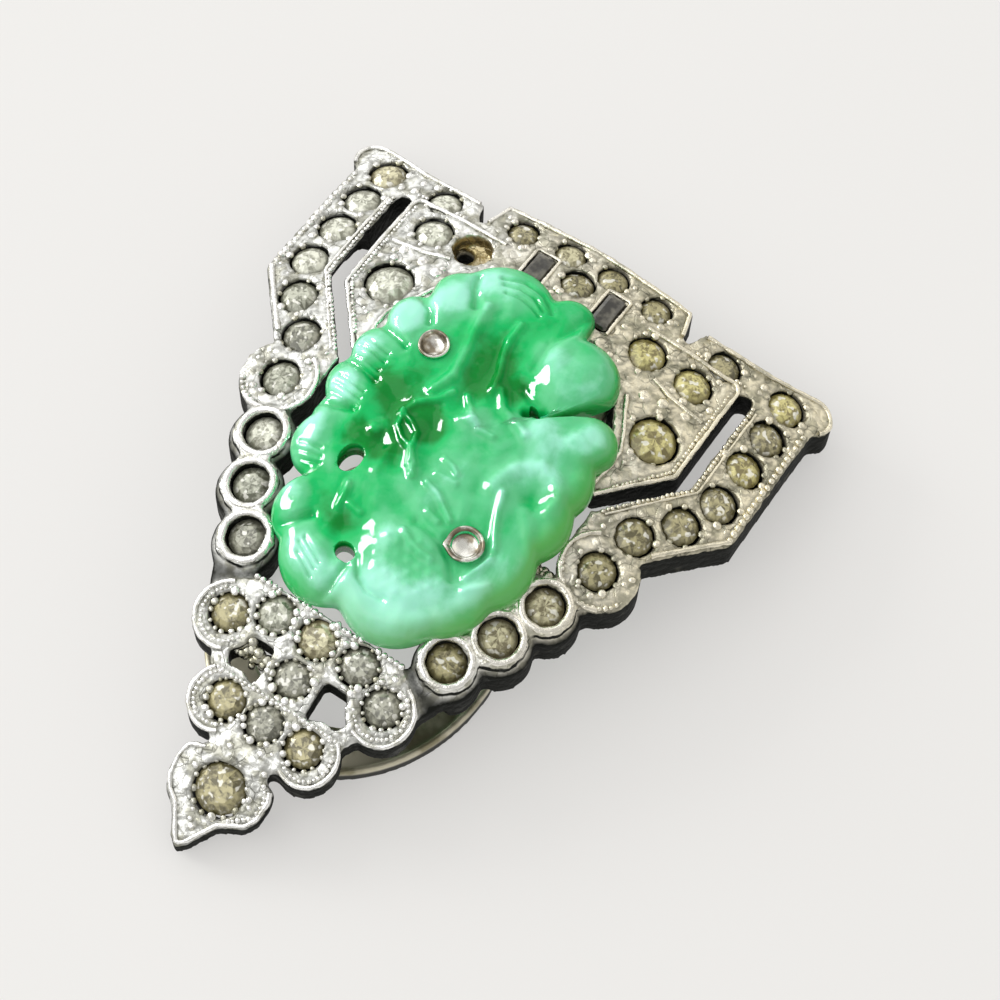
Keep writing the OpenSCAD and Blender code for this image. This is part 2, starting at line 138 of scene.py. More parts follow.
class Shader:
    """A material with one Principled shader, built up by expressions."""

    def __init__(self, name: str) -> None:
        """Starts an empty material.

        Args:
            name: Name of the material.
        """
        self.material = bpy.data.materials.new(name)
        self.material.use_nodes = True
        self.nodes = self.material.node_tree.nodes
        self.links = self.material.node_tree.links
        self.nodes.clear()
        self.surface = self.nodes.new("ShaderNodeBsdfPrincipled")
        self.node("ShaderNodeOutputMaterial", {}, {"Surface": self.surface.outputs[0]})

    def node(self, kind: str, settings: dict[str, object], inputs: dict[object, object]) -> bpy.types.Node:
        """Adds one node.

        Args:
            kind: Type of the node.
            settings: Its properties, which are set first.
            inputs: Numbers, colours, values or sockets of its inputs, by name or place.

        Returns:
            The node.
        """
        made = self.nodes.new(kind)
        for name, setting in settings.items():
            setattr(made, name, setting)
        for name, given in inputs.items():
            self.feed(made.inputs[name], given)
        return made

    def value(self, kind: str, settings: dict, inputs: dict, output: object = 0) -> Value:
        """Adds one node and takes a number of it."""
        return Value(self, self.node(kind, settings, inputs).outputs[output])

    def feed(self, socket: Socket, given: object) -> None:
        """Sets an input or links it.

        Args:
            socket: The input.
            given: Number, colour, value or socket.
        """
        if isinstance(given, Value):
            self.links.new(given.socket, socket)
        elif isinstance(given, Socket):
            self.links.new(given, socket)
        elif isinstance(given, tuple) and len(given) == 3 and len(socket.default_value) == 4:
            socket.default_value = (*given, 1.0)
        else:
            socket.default_value = given

    def place(self) -> Socket:
        """Object coordinates."""
        return self.node("ShaderNodeTexCoord", {}, {}).outputs["Object"]

    def stretched(self, scale: tuple[float, float, float], turn: float) -> Socket:
        """Object coordinates, scaled along each axis and turned about the upright one by some degrees."""
        given = {"Vector": self.place(), "Scale": scale, "Rotation": (0.0, 0.0, math.radians(turn))}
        return self.node("ShaderNodeMapping", {}, given).outputs[0]

    def noise(self, size: float, detail: float = 3.0, swirl: float = 0.0, where: object = None) -> Value:
        """Cloudy noise, about 0.3 to 0.7, with patches of a size in millimetres."""
        given = {"Vector": where or self.place(), "Scale": 1 / (size * MM)}
        return self.value("ShaderNodeTexNoise", {}, given | {"Detail": detail, "Distortion": swirl})

    def cells(self, size: float, feature: str = "F1") -> Value:
        """Distance to the nearest of scattered points, or to their cells' edges, as a share of a cell."""
        given = {"Vector": self.place(), "Scale": 1 / (size * MM)}
        return self.value("ShaderNodeTexVoronoi", {"feature": feature}, given, "Distance")

    def axis(self, which: int) -> Value:
        """One of the object coordinates, in millimetres."""
        return self.value("ShaderNodeSeparateXYZ", {}, {0: self.place()}, which) * (1 / MM)

    def facing(self) -> Value:
        """Upright part of the surface's direction, 1 where it faces up."""
        normal = self.node("ShaderNodeNewGeometry", {}, {}).outputs["Normal"]
        return self.value("ShaderNodeSeparateXYZ", {}, {0: normal}, 2)

    def depth(self) -> Value:
        """Depth below the domed face, in millimetres."""
        ends = {0: self.place(), 1: (0.0, 0.0, (DOME.apex - DOME.radius) * MM)}
        return DOME.radius - self.value("ShaderNodeVectorMath", {"operation": "DISTANCE"}, ends, 1) * (1 / MM)

    def painted(self, attribute: str) -> Value:
        """A number that is stored on the mesh."""
        return self.value("ShaderNodeAttribute", {"attribute_name": attribute}, {}, "Fac")

    def mix(self, share: object, first: object, second: object) -> Socket:
        """Mixes two colours by the second one's share. The Mix node has its colours at places 6, 7 and 2."""
        return self.node("ShaderNodeMix", {"data_type": "RGBA"}, {0: share, 6: first, 7: second}).outputs[2]

    def raised(self, height: Value, depth: float, strength: float) -> Socket:
        """Normal of the surface, bumped by a height that is a share of a depth in millimetres."""
        return self.node(
            "ShaderNodeBump", {}, {"Height": height, "Distance": depth * MM, "Strength": strength}).outputs[0]

    def plated(self, cool: Colour, warm: Colour) -> Socket:
        """Plating that goes from cool at the clip's left foot to warm at its right shoulder."""
        warmth = self.axis(0) + self.axis(1) * 0.6 + self.noise(9.0) * 14.0
        return self.mix(warmth.step(4.0, 24.0), cool, warm)

    def dress(self, inputs: dict[str, object]) -> bpy.types.Material:
        """Sets the Principled shader's inputs by name and returns the material.

        Args:
            inputs: Inputs by name.

        Returns:
            The material.
        """
        for name, given in inputs.items():
            self.feed(self.surface.inputs[name], given)
        return self.material


@dataclass(frozen=True)
class CastMetal:
    """Plated casting: bright and grainy on the face, with painted shade and tarnish darkening its walls,
    recesses and seams.
    """

    name: str = "cast_metal"
    bright: Colour = (0.87, 0.875, 0.84)
    warm: Colour = (0.84, 0.78, 0.6)
    dull: Colour = (0.36, 0.35, 0.25)
    # Colour of the painted shade and tarnish in the seams.
    seam: Colour = (0.07, 0.07, 0.05)
    # Near-black of the painted shade and tarnish on walls and in recesses.
    black: Colour = (0.01, 0.011, 0.009)
    old_foil: Colour = (0.46, 0.38, 0.2)
    grain: float = 0.6
    crack: float = 0.75
    shade_and_tarnish_from: float = 0.12
    shade_and_tarnish_to: float = 0.6
    relief: float = 0.15

    def make(self) -> bpy.types.Material:
        """Builds the material.

        Returns:
            The material.
        """
        s = Shader(self.name)
        patches = s.noise(1.1, detail=4.0).step(0.47, 0.6)
        worn = s.mix(patches * 0.62, s.plated(self.bright, self.warm), self.dull)
        # Painted shade and tarnish: the seams round stones, grains and lines, and a broken pattern of thin
        # cracks, turn to the seam colour.
        edges = 1.0 - s.cells(self.crack, "DISTANCE_TO_EDGE").step(0.01, 0.07)
        cracks = edges * s.noise(1.3, detail=2.0).step(0.46, 0.6)
        crevice_shade_and_tarnish = (s.painted("crevice_shade_and_tarnish") + cracks * 0.28).least(1.0)
        creased = s.mix(crevice_shade_and_tarnish, worn, self.seam)
        foil = s.painted("old_foil")
        # Painted shade and tarnish: walls that face sideways or down, and all that sinks below the face, go
        # near black, except the old foil in the empty cup.
        wall = s.depth().step(self.shade_and_tarnish_from, self.shade_and_tarnish_to).most((0.5 - s.facing()).step(0.0, 0.3))
        shade_and_tarnish = (wall * (0.8 + s.noise(1.4) * 0.5)).least(1.0) * (1.0 - foil)
        shaded_and_tarnished = s.mix(shade_and_tarnish, creased, self.black)
        domes = 1.0 - s.cells(self.grain) * 1.1
        return s.dress({
            "Base Color": s.mix(foil * (0.6 + s.noise(0.9) * 0.6), shaded_and_tarnished, self.old_foil),
            "Metallic": (1.0 - shade_and_tarnish) * (1.0 - crevice_shade_and_tarnish * 0.6),
            "Roughness": 0.22 + s.noise(0.7) * 0.2 + shade_and_tarnish * 0.35,
            "Normal": s.raised(domes * 0.7 + s.noise(0.55) * 1.1 - cracks * 0.4, self.relief, 0.7),
            "Specular IOR Level": 0.08,
        })


@dataclass(frozen=True)
class BeadMetal:
    """Burnished high spots of the casting: milgrain, grains, lips and ridges, with painted shade where they
    sink below the face.
    """

    name: str = "bead_metal"
    bright: Colour = (0.95, 0.945, 0.92)
    warm: Colour = (0.9, 0.84, 0.67)
    dull: Colour = (0.38, 0.37, 0.28)
    relief: float = 0.07

    def make(self) -> bpy.types.Material:
        """Builds the material.

        Returns:
            The material.
        """
        s = Shader(self.name)
        patches = s.noise(0.9).step(0.5, 0.66)
        # Painted shade: each bead turns dull where it sinks below the face; the patches are real wear.
        low = s.depth().step(-0.06, 0.1)
        share = (patches * 0.5 + low * 0.8).least(1.0)
        return s.dress({
            "Base Color": s.mix(share, s.plated(self.bright, self.warm), self.dull),
            "Metallic": 1.0,
            "Roughness": 0.18 + s.noise(0.5) * 0.18,
            "Normal": s.raised(s.noise(0.2, detail=2.0), self.relief, 0.7),
        })


class Foil(Enum):
    """Age of the foil behind a stone: its light colour and its dark colour."""

    YELLOW = ((0.66, 0.6, 0.24), (0.19, 0.155, 0.045))
    STRAW = ((0.64, 0.6, 0.38), (0.19, 0.165, 0.085))
    UMBER = ((0.45, 0.405, 0.21), (0.115, 0.1, 0.042))
    PALE = ((0.74, 0.75, 0.63), (0.24, 0.24, 0.18))
    GREY = ((0.52, 0.53, 0.43), (0.14, 0.145, 0.1))
    DULL = ((0.39, 0.39, 0.31), (0.11, 0.11, 0.08))


@dataclass(frozen=True)
class PasteStone:
    """Clear cut stone over crinkled, aged foil, with painted shade round its edge."""

    foil: Foil
    glint: Colour = (0.93, 0.92, 0.84)
    relief: float = 0.16

    @property
    def name(self) -> str:
        """Name of the material, after its foil."""
        return f"paste_{self.foil.name.lower()}"

    def make(self) -> bpy.types.Material:
        """Builds the material.

        Returns:
            The material.
        """
        s = Shader(self.name)
        light, dark = self.foil.value
        cloud = s.noise(0.85, swirl=1.2)
        blots = s.noise(0.42, detail=2.0, swirl=0.6)
        share = (cloud - 0.5) * 3.0 + (blots - 0.5) * 2.2 + (s.painted("facet") - 0.5) * 1.1 + 0.58
        # Painted shade: the foil darkens towards the stone's edge, where the cup's wall shades it.
        rim = s.painted("rim").step(0.7, 0.98)
        shown = (share * (1.0 - rim * 0.85)).least(1.0).most(0.0)
        glints = s.noise(0.5, detail=1.0).step(0.58, 0.66) * (1.0 - rim)
        return s.dress({
            "Base Color": s.mix(glints * 0.75, s.mix(shown, dark, light), self.glint),
            "Metallic": 0.2,
            "Roughness": 0.28,
            "Normal": s.raised(cloud * 0.8 + blots * 0.5, self.relief, 0.45),
            "Coat Weight": 0.75,
            "Coat Roughness": 0.03,
            "Coat IOR": 1.6,
        })


@dataclass(frozen=True)
class SmokyStone:
    """Dark cut glass."""

    name: str = "smoky_stone"
    dark: Colour = (0.035, 0.033, 0.028)
    light: Colour = (0.16, 0.15, 0.12)

    def make(self) -> bpy.types.Material:
        """Builds the material.

        Returns:
            The material.
        """
        s = Shader(self.name)
        cloud = s.noise(0.8)
        return s.dress({
            "Base Color": s.mix(cloud.step(0.4, 0.7), self.dark, self.light),
            "Roughness": 0.12 + cloud * 0.1,
            "Normal": s.raised(s.noise(0.5), 0.04, 0.5),
            "Coat Weight": 0.6,
            "Coat Roughness": 0.04,
        })


@dataclass(frozen=True)
class GreenGlass:
    """Cloudy moulded glass: deep green where it is clear, mint where it is milky, with painted light on its
    high parts and painted shade in its hollows and on its right edge.
    """

    name: str = "green_glass"
    deep: Colour = (0.0005, 0.24, 0.03)
    emerald: Colour = (0.008, 0.5, 0.13)
    middle: Colour = (0.12, 0.6, 0.275)
    mint: Colour = (0.385, 0.875, 0.69)
    # Yellow-green of the painted shade on the right and lower edge.
    right_edge_shade: Colour = (0.14, 0.46, 0.1)

    def make(self) -> bpy.types.Material:
        """Builds the material.

        Returns:
            The material.
        """
        s = Shader(self.name)
        streaks = s.noise(3.2, detail=5.0, swirl=1.4, where=s.stretched((1.0, 0.7, 1.0), 30.0))
        fine = s.noise(0.9, detail=4.0)
        # Milkiness with the painted light and shade by height, and streaks.
        milk_and_height_shade = s.painted("milk_and_height_shade") + (streaks - 0.5) * 0.55 + (fine - 0.5) * 0.3
        colour = s.mix(milk_and_height_shade.step(-0.1, 0.26), self.deep, self.emerald)
        colour = s.mix(milk_and_height_shade.step(0.24, 0.62), colour, self.middle)
        colour = s.mix(milk_and_height_shade.step(0.62, 1.05), colour, self.mint)
        return s.dress({
            "Base Color": s.mix((s.painted("right_edge_shade") * (0.5 + streaks)).least(0.8), colour, self.right_edge_shade),
            "Roughness": 0.05 + fine * 0.06,
            "Subsurface Weight": 0.3,
            "Subsurface Radius": (0.5, 1.0, 0.6),
            "Subsurface Scale": 0.0014,
            "IOR": 1.52,
            "Specular IOR Level": 0.26,
            "Normal": s.raised(s.noise(0.75, detail=1.5), 0.05, 0.5),
        })


@dataclass(frozen=True)
class SheetMetal:
    """Thin plated sheet or wire: shiny, gone brown or olive with age."""

    name: str
    bright: Colour
    dull: Colour
    smooth: float
    stain_size: float = 2.4

    def make(self) -> bpy.types.Material:
        """Builds the material.

        Returns:
            The material.
        """
        s = Shader(self.name)
        brushed = s.noise(0.5, where=s.stretched((1.0, 0.12, 1.0), 20.0))
        stain = s.noise(self.stain_size, detail=4.0).step(0.42, 0.6)
        return s.dress({
            "Base Color": s.mix(stain, self.bright, self.dull),
            "Metallic": 1.0,
            "Roughness": self.smooth + brushed * 0.16 + stain * 0.1,
            "Normal": s.raised(brushed + s.noise(1.5) * 0.8, 0.03, 0.4),
        })


@dataclass(frozen=True)
class LeverSheet:
    """The lever's plated sheet: olive and mirror-like inside, with painted shade darkening its outer wall."""

    name: str = "lever_sheet"
    bright: Colour = (0.66, 0.62, 0.47)
    dull: Colour = (0.33, 0.3, 0.19)
    black: Colour = (0.02, 0.02, 0.016)
    rim_from: float = 0.85
    rim_to: float = 1.25

    def make(self) -> bpy.types.Material:
        """Builds the material.

        Returns:
            The material.
        """
        s = Shader(self.name)
        brushed = s.noise(0.6, where=s.stretched((1.0, 0.15, 1.0), 20.0))
        stain = s.noise(2.6, detail=4.0).step(0.42, 0.62)
        # Painted shade: sides that face sideways or down, up to about a millimetre above the floor, turn near
        # black.
        side = (0.55 - s.facing()).step(0.0, 0.3) * (1.0 - s.axis(2).step(self.rim_from, self.rim_to))
        return s.dress({
            "Base Color": s.mix(side, s.mix(stain, self.bright, self.dull), self.black),
            "Metallic": 0.55 - side * 0.4,
            "Roughness": 0.26 + brushed * 0.2 + side * 0.3,
            "Normal": s.raised(brushed + s.noise(1.5) * 0.9, 0.05, 0.5),
        })


@dataclass(frozen=True)
class FloorPaper:
    """Plain pale lit surface under the clip."""

    name: str = "floor_paper"
    pale: Colour = (0.38, 0.377, 0.37)
    glow: Colour = (1.0, 0.985, 0.965)
    drift: float = 0.985

    def make(self) -> bpy.types.Material:
        """Builds the material.

        Returns:
            The material.
        """
        s = Shader(self.name)
        share = s.noise(60.0, detail=2.0).step(0.3, 0.7)
        return s.dress({
            "Base Color": s.mix(share, self.pale, tuple(self.drift * c for c in self.pale)),
            "Roughness": 0.8,
            "Specular IOR Level": 0.1,
            "Emission Color": self.glow,
            "Emission Strength": 0.44,
        })


class Workshop:
    """Keeps the finishes and sends finished pieces to their bodies."""

    def __init__(self) -> None:
        """Starts with no finish made."""
        self.made: dict[str, bpy.types.Material] = {}

    def finish(self, kind: object) -> bpy.types.Material:
        """The material of a finish, made once.

        Args:
            kind: The finish.

        Returns:
            Its material.
        """
        if kind.name not in self.made:
            self.made[kind.name] = kind.make()
        return self.made[kind.name]

    def deliver(self, piece: Piece, kind: object, body: str, stands_for: tuple = ()) -> None:
        """Gives a new piece its finish and body, and hides the nodes that it replaces.

        Args:
            piece: The finished object.
            kind: Its finish.
            body: Body that it moves with.
            stands_for: Nodes that it replaces.
        """
        piece.data.materials.clear()
        piece.data.materials.append(self.finish(kind))
        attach(piece, body)
        if stands_for:
            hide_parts(*stands_for)
        log.info("%s: %d faces on %s", piece.name, len(piece.data.polygons), body)

    def repaint(self, node: str, kind: object) -> None:
        """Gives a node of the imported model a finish."""
        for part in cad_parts[node].material_slots:
            part.material = self.finish(kind)


def placed(name: str, data: bpy.types.ID) -> Piece:
    """Adds an object with a mesh, camera or light to the scene.

    Args:
        name: Its name.
        data: Its mesh, camera or light.

    Returns:
        The object.
    """
    made = bpy.data.objects.new(name, data)
    bpy.context.scene.collection.objects.link(made)
    return made


def deselect() -> None:
    """Leaves object mode with nothing selected."""
    if bpy.context.object and bpy.context.object.mode != "OBJECT":
        bpy.ops.object.mode_set(mode="OBJECT")
    bpy.ops.object.select_all(action="DESELECT")


def pick(piece: Piece) -> None:
    """Selects one object alone and makes it active.

    Args:
        piece: The object.
    """
    deselect()
    piece.select_set(True)
    bpy.context.view_layer.objects.active = piece


def edit(piece: Piece) -> None:
    """Opens an object in edit mode with all of it selected.

    Args:
        piece: The object.
    """
    pick(piece)
    bpy.ops.object.mode_set(mode="EDIT")
    bpy.ops.mesh.select_all(action="SELECT")


def settle(piece: Piece, name: str, smooth: float = 180.0) -> Piece:
    """Moves a piece's place into its mesh, names it and smooths it.

    Args:
        piece: The object.
        name: Its name.
        smooth: Angle in degrees up to which its edges are smoothed.

    Returns:
        The object.
    """
    pick(piece)
    bpy.ops.object.transform_apply(location=True, rotation=True, scale=True)
    bpy.ops.object.shade_smooth_by_angle(angle=math.radians(smooth))
    piece.name = name
    piece.data.name = name
    return piece


def add_modifier(piece: Piece, kind: str, settings: dict[str, object]) -> None:
    """Adds a modifier and applies it.

    Args:
        piece: The object.
        kind: Type of the modifier.
        settings: Its properties.
    """
    pick(piece)
    made = piece.modifiers.new(kind.lower(), kind)
    for name, setting in settings.items():
        setattr(made, name, setting)
    bpy.ops.object.modifier_apply(modifier=made.name)


def make_uneven(piece: Piece, name: str, size: float, height: float, group: str = "") -> None:
    """Moves a piece's surface in and out by cloudy noise.

    Args:
        piece: The object.
        name: Name of the noise.
        size: Size of its patches in millimetres.
        height: Height between its lowest and highest places.
        group: Vertex group that it is held to.
    """
    texture = bpy.data.textures.new(name, "CLOUDS")
    texture.noise_scale = size * MM
    add_modifier(piece, "DISPLACE", {
        "texture": texture, "texture_coords": "LOCAL", "vertex_group": group,
        "strength": height * MM, "mid_level": 0.5,
    })


def softened(node: str, name: str, voxel: float, rounds: int) -> Piece:
    """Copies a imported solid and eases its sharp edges.

    Args:
        node: The solid's node.
        name: Name of the copy.
        voxel: Size in millimetres of the grid that it is meshed on.
        rounds: Rounds of smoothing.

    Returns:
        The copy.
    """
    piece = placed(name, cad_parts[node].data.copy())
    edit(piece)
    bpy.ops.mesh.remove_doubles(threshold=1e-6)
    bpy.ops.object.mode_set(mode="OBJECT")
    add_modifier(piece, "REMESH", {"mode": "VOXEL", "voxel_size": voxel * MM})
    add_modifier(piece, "SMOOTH", {"factor": 0.5, "iterations": rounds})
    return piece


def joined(pieces: list[Piece], name: str) -> Piece:
    """Joins objects to one.

    Args:
        pieces: The objects.
        name: Name of the joined one.

    Returns:
        The joined object.
    """
    pick(pieces[0])
    for piece in pieces:
        piece.select_set(True)
    bpy.ops.object.join()
    return settle(bpy.context.object, name)


def store(piece: Piece, name: str, values: object, part: str = "POINT") -> None:
    """Stores a number on each vertex or face of a mesh, for its finish."""
    stored = piece.data.attributes.new(name, "FLOAT", part)
    stored.data.foreach_set("value", np.asarray(values, dtype=np.float32))


def triangles_of(node: str) -> BVHTree:
    """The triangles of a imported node, for finding points on it."""
    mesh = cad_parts[node].data
    return BVHTree.FromPolygons([v.co[:] for v in mesh.vertices], [p.vertices[:] for p in mesh.polygons])


def arc(centre: Plan, radius: float, start: float, end: float, steps: int = 16) -> list[Plan]:
    """Points along an arc of the plan, between two bearings in degrees."""
    turns = [math.radians(start + (end - start) * i / steps) for i in range(steps + 1)]
    return [(centre[0] + radius * math.cos(t), centre[1] + radius * math.sin(t)) for t in turns]


def spaced(line: list[Plan], gap: float) -> list[Plan]:
    """Points at even distances along a line of the plan.

    Args:
        line: Its corners.
        gap: Wanted distance.

    Returns:
        The points, the line's ends among them.
    """
    corners = np.array(line)
    runs = np.concatenate([[0.0], np.cumsum(np.hypot(*np.diff(corners, axis=0).T))])
    wanted = np.linspace(0.0, runs[-1], max(2, round(runs[-1] / gap) + 1))
    return list(zip(np.interp(wanted, runs, corners[:, 0]), np.interp(wanted, runs, corners[:, 1])))


@dataclass(frozen=True)
class Bead:
    """One grain on the face: place, radius, height of its middle over the face, and height over width."""

    x: float
    y: float
    radius: float
    lift: float
    squash: float


def strew(beads: list[Bead], name: str, seed: int) -> Piece:
    """Copies one modelled grain to many places, as one mesh.

    Args:
        beads: The grains.
        name: Name of the joined object.
        seed: Seed of their turns and unevenness.

    Returns:
        The joined object.
    """
    deselect()
    bpy.ops.mesh.primitive_ico_sphere_add(subdivisions=2, radius=1.0)
    model = bpy.context.object
    shape = np.array([v.co[:] for v in model.data.vertices])
    faces = np.array([p.vertices[:] for p in model.data.polygons])
    bpy.data.objects.remove(model)
    draw = random.Random(seed)
    corners = []
    for bead in beads:
        turn = np.array(DOME.turn(bead.x, bead.y).to_3x3())
        spin = np.array(Matrix.Rotation(draw.uniform(0, math.tau), 3, "Z"))
        size = np.array([1.0, draw.uniform(0.82, 1.12), bead.squash]) * bead.radius * MM
        corners.append((shape * size) @ (turn @ spin).T + np.array(DOME.point(bead.x, bead.y, bead.lift)))
    sides = [faces + i * len(shape) for i in range(len(beads))]
    mesh = bpy.data.meshes.new(name)
    mesh.from_pydata(np.concatenate(corners).tolist(), [], np.concatenate(sides).tolist())
    return settle(placed(name, mesh), name)


def wire(line: list[Plan], radius: float) -> Piece:
    """A round wire laid on the face, its lower half sunk into it.

    Args:
        line: The line's corners.
        radius: Radius of the wire.

    Returns:
        The wire as a mesh object.
    """
    points = [DOME.point(x, y)[:] for x, y in spaced(line, 0.3)]
    mesh = bpy.data.meshes.new("wire")
    mesh.from_pydata(points, [(i, i + 1) for i in range(len(points) - 1)], [])
    pick(placed("wire", mesh))
    bpy.ops.object.convert(target="CURVE")
    made = bpy.context.object
    made.data.bevel_depth = radius * MM
    made.data.bevel_resolution = 2
    made.data.use_fill_caps = True
    bpy.ops.object.convert(target="MESH")
    return bpy.context.object


@dataclass(frozen=True)
class SetStone:
    """One round stone: its node, place, diameter and foil."""

    node: str
    x: float
    y: float
    d: float
    foil: Foil


AGED = {
    Foil.YELLOW: "corner_right band_2_right panel_inner_right panel_top_right panel_large_right",
    Foil.UMBER: "band_1_right band_3_right band_4_right band_5_right band_end_right arm_right leaf_left "
                "round_3_right centre_outer_left centre_drop centre_inner_right centre_outer_right lobe_left "
                "leaf_right tip",
    Foil.PALE: "band_1_left band_2_left band_3_left round_1_left panel_large_left panel_top_left arm_left",
    Foil.GREY: "band_4_left band_end_left round_2_left inner_lobe_left",
    Foil.DULL: "lobe_right ornament_middle ornament_low inner_lobe_right band_5_left round_3_left",
}


@dataclass
class Stones:
    """All the set stones, cut with a table, a crown and a pavilion. Shares are of a stone's radius."""

    drop: float = 0.35
    deeper: tuple[float, float] = (0.08, 0.16)
    lean: float = 3.0
    fit: float = 0.99
    table: float = 0.58
    octagon: float = 0.924
    inner_table: float = 0.22
    crown: float = 0.3
    girdle: float = 0.06
    pavilion: float = 0.56
    seed: int = 3

    def __post_init__(self) -> None:
        """Finds each stone's place and size from its node, and its foil, straw-coloured unless listed."""
        self.set: list[SetStone] = []
        for node in sorted(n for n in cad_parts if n.startswith("stone_")):
            low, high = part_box(node)
            middle = [(a + b) / 2 / MM for a, b in zip(low, high)]
            short = node.removeprefix("stone_")
            foil = next((foil for foil, names in AGED.items() if short in names.split()), Foil.STRAW)
            self.set.append(SetStone(node, middle[0], middle[1], (high[0] - low[0]) / MM, foil))

    def choose(self, model: Piece, parts: str, wanted: Callable[[object], object]) -> None:
        """Selects a mesh's vertices or faces by a test, in edit mode.

        Args:
            model: The object.
            parts: Name of the mesh's list of them.
            wanted: Test of one of them.
        """
        bpy.ops.object.mode_set(mode="OBJECT")
        for part in (model.data.polygons, model.data.edges, model.data.vertices):
            part.foreach_set("select", [False] * len(part))
        for part in getattr(model.data, parts):
            part.select = bool(wanted(part))
        bpy.ops.object.mode_set(mode="EDIT")
        bpy.ops.mesh.select_mode(type="VERT" if parts == "vertices" else "FACE")

    def cut_model(self) -> Piece:
        """Models one stone of radius 1: girdle, pavilion, crown and an eight-sided table.

        Returns:
            The stone.
        """
        deselect()
        bpy.ops.mesh.primitive_circle_add(vertices=16, radius=1.0, fill_type="NGON")
        model = bpy.context.object
        bpy.ops.object.mode_set(mode="EDIT")
        bpy.ops.mesh.extrude_region_move(TRANSFORM_OT_translate={"value": (0, 0, self.girdle)})
        bpy.ops.mesh.extrude_region_move(TRANSFORM_OT_translate={"value": (0, 0, self.crown)})
        bpy.ops.transform.resize(value=(self.table, self.table, 1.0))
        self.choose(model, "vertices", lambda v: v.co.z > 0.2 and round(
            math.degrees(math.atan2(v.co.y, v.co.x)) / 22.5) % 2)
        bpy.ops.transform.resize(value=(self.octagon, self.octagon, 1.0))
        self.choose(model, "polygons", lambda face: face.normal.z > 0.95 and face.center.z > 0.2)
        bpy.ops.mesh.inset(thickness=self.inner_table)
        bpy.ops.mesh.poke()
        self.choose(model, "polygons", lambda face: face.center.z < 0.01)
        bpy.ops.mesh.poke()
        self.choose(model, "vertices", lambda v: v.co.z < 0.01 and v.co.xy.length < 0.01)
        bpy.ops.transform.translate(value=(0, 0, -self.pavilion))
        bpy.ops.mesh.select_all(action="SELECT")
        bpy.ops.mesh.quads_convert_to_tris(quad_method="BEAUTY", ngon_method="BEAUTY")
        bpy.ops.mesh.normals_make_consistent(inside=False)
        bpy.ops.object.mode_set(mode="OBJECT")
        return model

    def dress(self, shop: Workshop) -> None:
        """Copies the cut stone into every cup, and gives the baguettes their finish.

        Args:
            shop: Takes the pieces.
        """
        draw = random.Random(self.seed)
        model = self.cut_model()
        for stone in self.set:
            piece = placed(stone.node, model.data.copy())
            store(piece, "rim", [corner.co.xy.length for corner in piece.data.vertices])
            order = sorted(piece.data.polygons, key=lambda face: tuple(round(c, 3) for c in face.center))
            facets = {face.index: draw.random() for face in order}
            store(piece, "facet", [facets[i] for i in range(len(facets))], "FACE")
            lean = Matrix.Rotation(math.radians(draw.uniform(-self.lean, self.lean)), 4, "X")
            spin = Matrix.Rotation(draw.uniform(0, math.tau), 4, "Z")
            size = Matrix.Scale(stone.d / 2 * MM * self.fit, 4)
            place = Matrix.Translation(DOME.point(stone.x, stone.y, -self.drop - draw.uniform(*self.deeper)))
            piece.matrix_world = place @ DOME.turn(stone.x, stone.y) @ lean @ spin @ size
            piece = settle(piece, stone.node.replace("stone_", "paste_"), 5.0)
            shop.deliver(piece, PasteStone(stone.foil), FRONT, (stone.node,))
        bpy.data.objects.remove(model)
        for side in ("left", "right"):
            shop.repaint(f"baguette_{side}", SmokyStone())


@dataclass(frozen=True)
class Prongs:
    """How grains stand round a stone: their counts and radii, and how far they reach and keep clear.

    Reach and clearance are shares of a grain's radius, closeness of the sum of two radii.
    """

    counts: tuple[int, ...]
    radii: Plan
    reach: Plan
    clear: float
    closeness: float


@dataclass
class Line:
    """A line of the relief: its corners, its radius, and whether it has a mirrored twin."""

    corners: list[Plan]
    radius: float
    twin: bool = True

    def mirrored(self) -> "Line":
        """The same line on the left side."""
        return Line([(-x, y) for x, y in self.corners], self.radius)


def with_twins(*lines: Line) -> list[Line]:
    """The lines, and then their mirrored twins."""
    return [*lines, *(line.mirrored() for line in lines if line.twin)]


BAND_END = (12.8, -2.3)
LOBE = (6.1, -17.9)
LEAF = (3.5, -22.6)
MILGRAIN = with_twins(
    Line([(18.57, 15.0), (18.57, 5.0)], 0.26),
    Line([(14.82, 14.4), (14.82, 6.4), (10.75, 1.35)], 0.17),
    Line(arc(BAND_END, 2.5, 195, 330), 0.19),
    Line([(12.98, 14.4), (12.98, 6.6), (10.4, 3.2)], 0.15),
    Line([(-5.7, -14.88), (5.7, -14.88)], 0.22, False),
    Line([(-4.6, -21.0), (4.6, -21.0)], 0.17, False),
    Line(arc(LOBE, 1.78, -150, 75), 0.16),
    Line(arc(LEAF, 1.68, -130, 60), 0.16),
    Line([(2.2, -25.7), (2.75, -26.4), (2.7, -27.6), (1.3, -28.6)], 0.17, False),
    Line([(9.6, 15.55), (13.4, 15.55)], 0.15),
)
